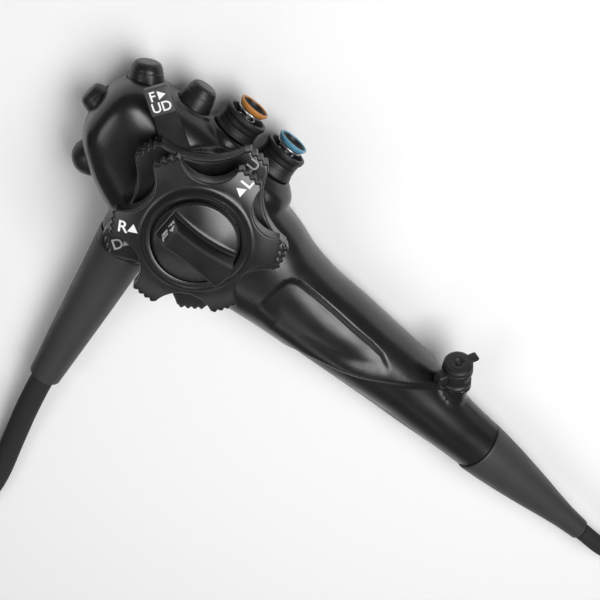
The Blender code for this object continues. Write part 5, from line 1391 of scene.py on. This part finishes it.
class ENDOSCOPE_OT_boots(bpy.types.Operator):
    """Build the two tapered boots, the cord's nut and the sleeves inside"""

    bl_idname = "endoscope.boots"
    bl_label = "Boots"

    def execute(self, context):
        lead = BOOT_END - BOOT_START
        length, root, tip, socket = lead.length / MM, 12.4, 5.0, SOCKET_RADIUS
        corners = [(0.0, length, 0), (4.2, length, 0.2), (tip, length - 0.3, 0.4)]
        stations = ((0.97, 0.01), (0.85, 0.09), (0.72, 0.24), (0.58, 0.43), (0.44, 0.61), (0.3, 0.77),
                    (0.15, 0.91), (0.02, 1.0))
        corners += swept_profile(stations, length, root, tip)
        corners += [(root, 0.8, 0.3), (root - 0.2, 0.0, 0.1), (socket, 0.0, 0), (socket, 9, 0), (0.0, 9, 0)]
        turned_piece("insertion_boot_body", corners, "boot_rubber", HOUSING, "grey_boot_rubber",
                     ("insertion_boot",), BOOT_START, lead, 96)
        lead = CORD_TIP - CORD_ROOT
        length = lead.length / MM
        nut_end = FIT + 4.6
        nut = [(socket, nut_end, 0), (NUT_RADIUS, nut_end, 0.5), (NUT_RADIUS, FIT, 0.5), (socket, FIT, 0)]
        turned_piece("cord_nut_ring", nut, "dark_metal", HOUSING, "dark_metal", ("cord_nut",), CORD_ROOT,
                     lead, 96, True)
        start = nut_end + FIT
        wide, thin = 11.5, 6.9
        corners = [(0.0, length, 0), (thin - 1.0, length, 0.2), (thin, length - 0.6, 0.6)]
        stations = ((0.96, 0.03), (0.8, 0.22), (0.6, 0.45), (0.4, 0.67), (0.2, 0.86),
                    (start / length + 0.02, 1.0))
        corners += swept_profile(stations, length, wide, thin)
        corners += [(wide, start + 0.6, 0.3), (wide - 0.3, start, 0.1), (socket, start, 0),
                    (socket, nut_end + 8.3, 0), (0.0, nut_end + 8.3, 0)]
        turned_piece("cord_boot_body", corners, "boot_rubber", HOUSING, "grey_boot_rubber", ("cord_boot",),
                     CORD_ROOT, lead, 96)
        return {"FINISHED"}


class ENDOSCOPE_OT_inner_pieces(bpy.types.Operator):
    """Give the frame's own inner pieces their finishes"""

    bl_idname = "endoscope.inner_pieces"
    bl_label = "Inner Pieces"

    def execute(self, context):
        groups = (("machined_alloy", ("chassis_plate", "shaft_frame", "ud_drum", "rl_drum", "end_sleeve")),
                  ("brushed_steel", ("centre_post", "ud_shaft", "rl_shaft")),
                  ("dark_metal", ("bearing_flange", "cord_sleeve")))
        for look, nodes in groups:
            for node in nodes:
                for slot in frame["nodes"][node].material_slots:
                    slot.material = finish(look)
        return {"FINISHED"}


OPERATORS = (ENDOSCOPE_OT_stage, ENDOSCOPE_OT_bending_section, ENDOSCOPE_OT_connector, ENDOSCOPE_OT_cords,
             ENDOSCOPE_OT_head_shell, ENDOSCOPE_OT_grip_shell, ENDOSCOPE_OT_wheels, ENDOSCOPE_OT_lock_knob,
             ENDOSCOPE_OT_lock_lever, ENDOSCOPE_OT_marks, ENDOSCOPE_OT_valves, ENDOSCOPE_OT_switches,
             ENDOSCOPE_OT_port, ENDOSCOPE_OT_boots, ENDOSCOPE_OT_inner_pieces)
SETTINGS = (("endoscope_stage", EndoscopeStage), ("endoscope_shell", EndoscopeShell),
            ("endoscope_wheels", EndoscopeWheels), ("endoscope_colours", EndoscopeColours))


class ENDOSCOPE_PT_sidebar(bpy.types.Panel):
    """Sizes, colours and the steps that build the endoscope"""

    bl_idname = "ENDOSCOPE_PT_sidebar"
    bl_label = "Flexible Endoscope"
    bl_space_type = "VIEW_3D"
    bl_region_type = "UI"
    bl_category = "Endoscope"

    def draw(self, context):
        for name, group in SETTINGS:
            settings = getattr(context.scene, name)
            box = self.layout.box()
            for field in group.__annotations__:
                box.prop(settings, field)
        for step in OPERATORS:
            self.layout.operator(step.bl_idname)


def register():
    for name, group in SETTINGS:
        bpy.utils.register_class(group)
        setattr(bpy.types.Scene, name, PointerProperty(type=group))
    for step in OPERATORS:
        bpy.utils.register_class(step)
    bpy.utils.register_class(ENDOSCOPE_PT_sidebar)


def unregister():
    bpy.utils.unregister_class(ENDOSCOPE_PT_sidebar)
    for step in reversed(OPERATORS):
        bpy.utils.unregister_class(step)
    for name, group in reversed(SETTINGS):
        delattr(bpy.types.Scene, name)
        bpy.utils.unregister_class(group)


def main():
    register()
    for step in OPERATORS:
        family, word = step.bl_idname.split(".")
        getattr(getattr(bpy.ops, family), word)()


if __name__ == "__main__":
    main()
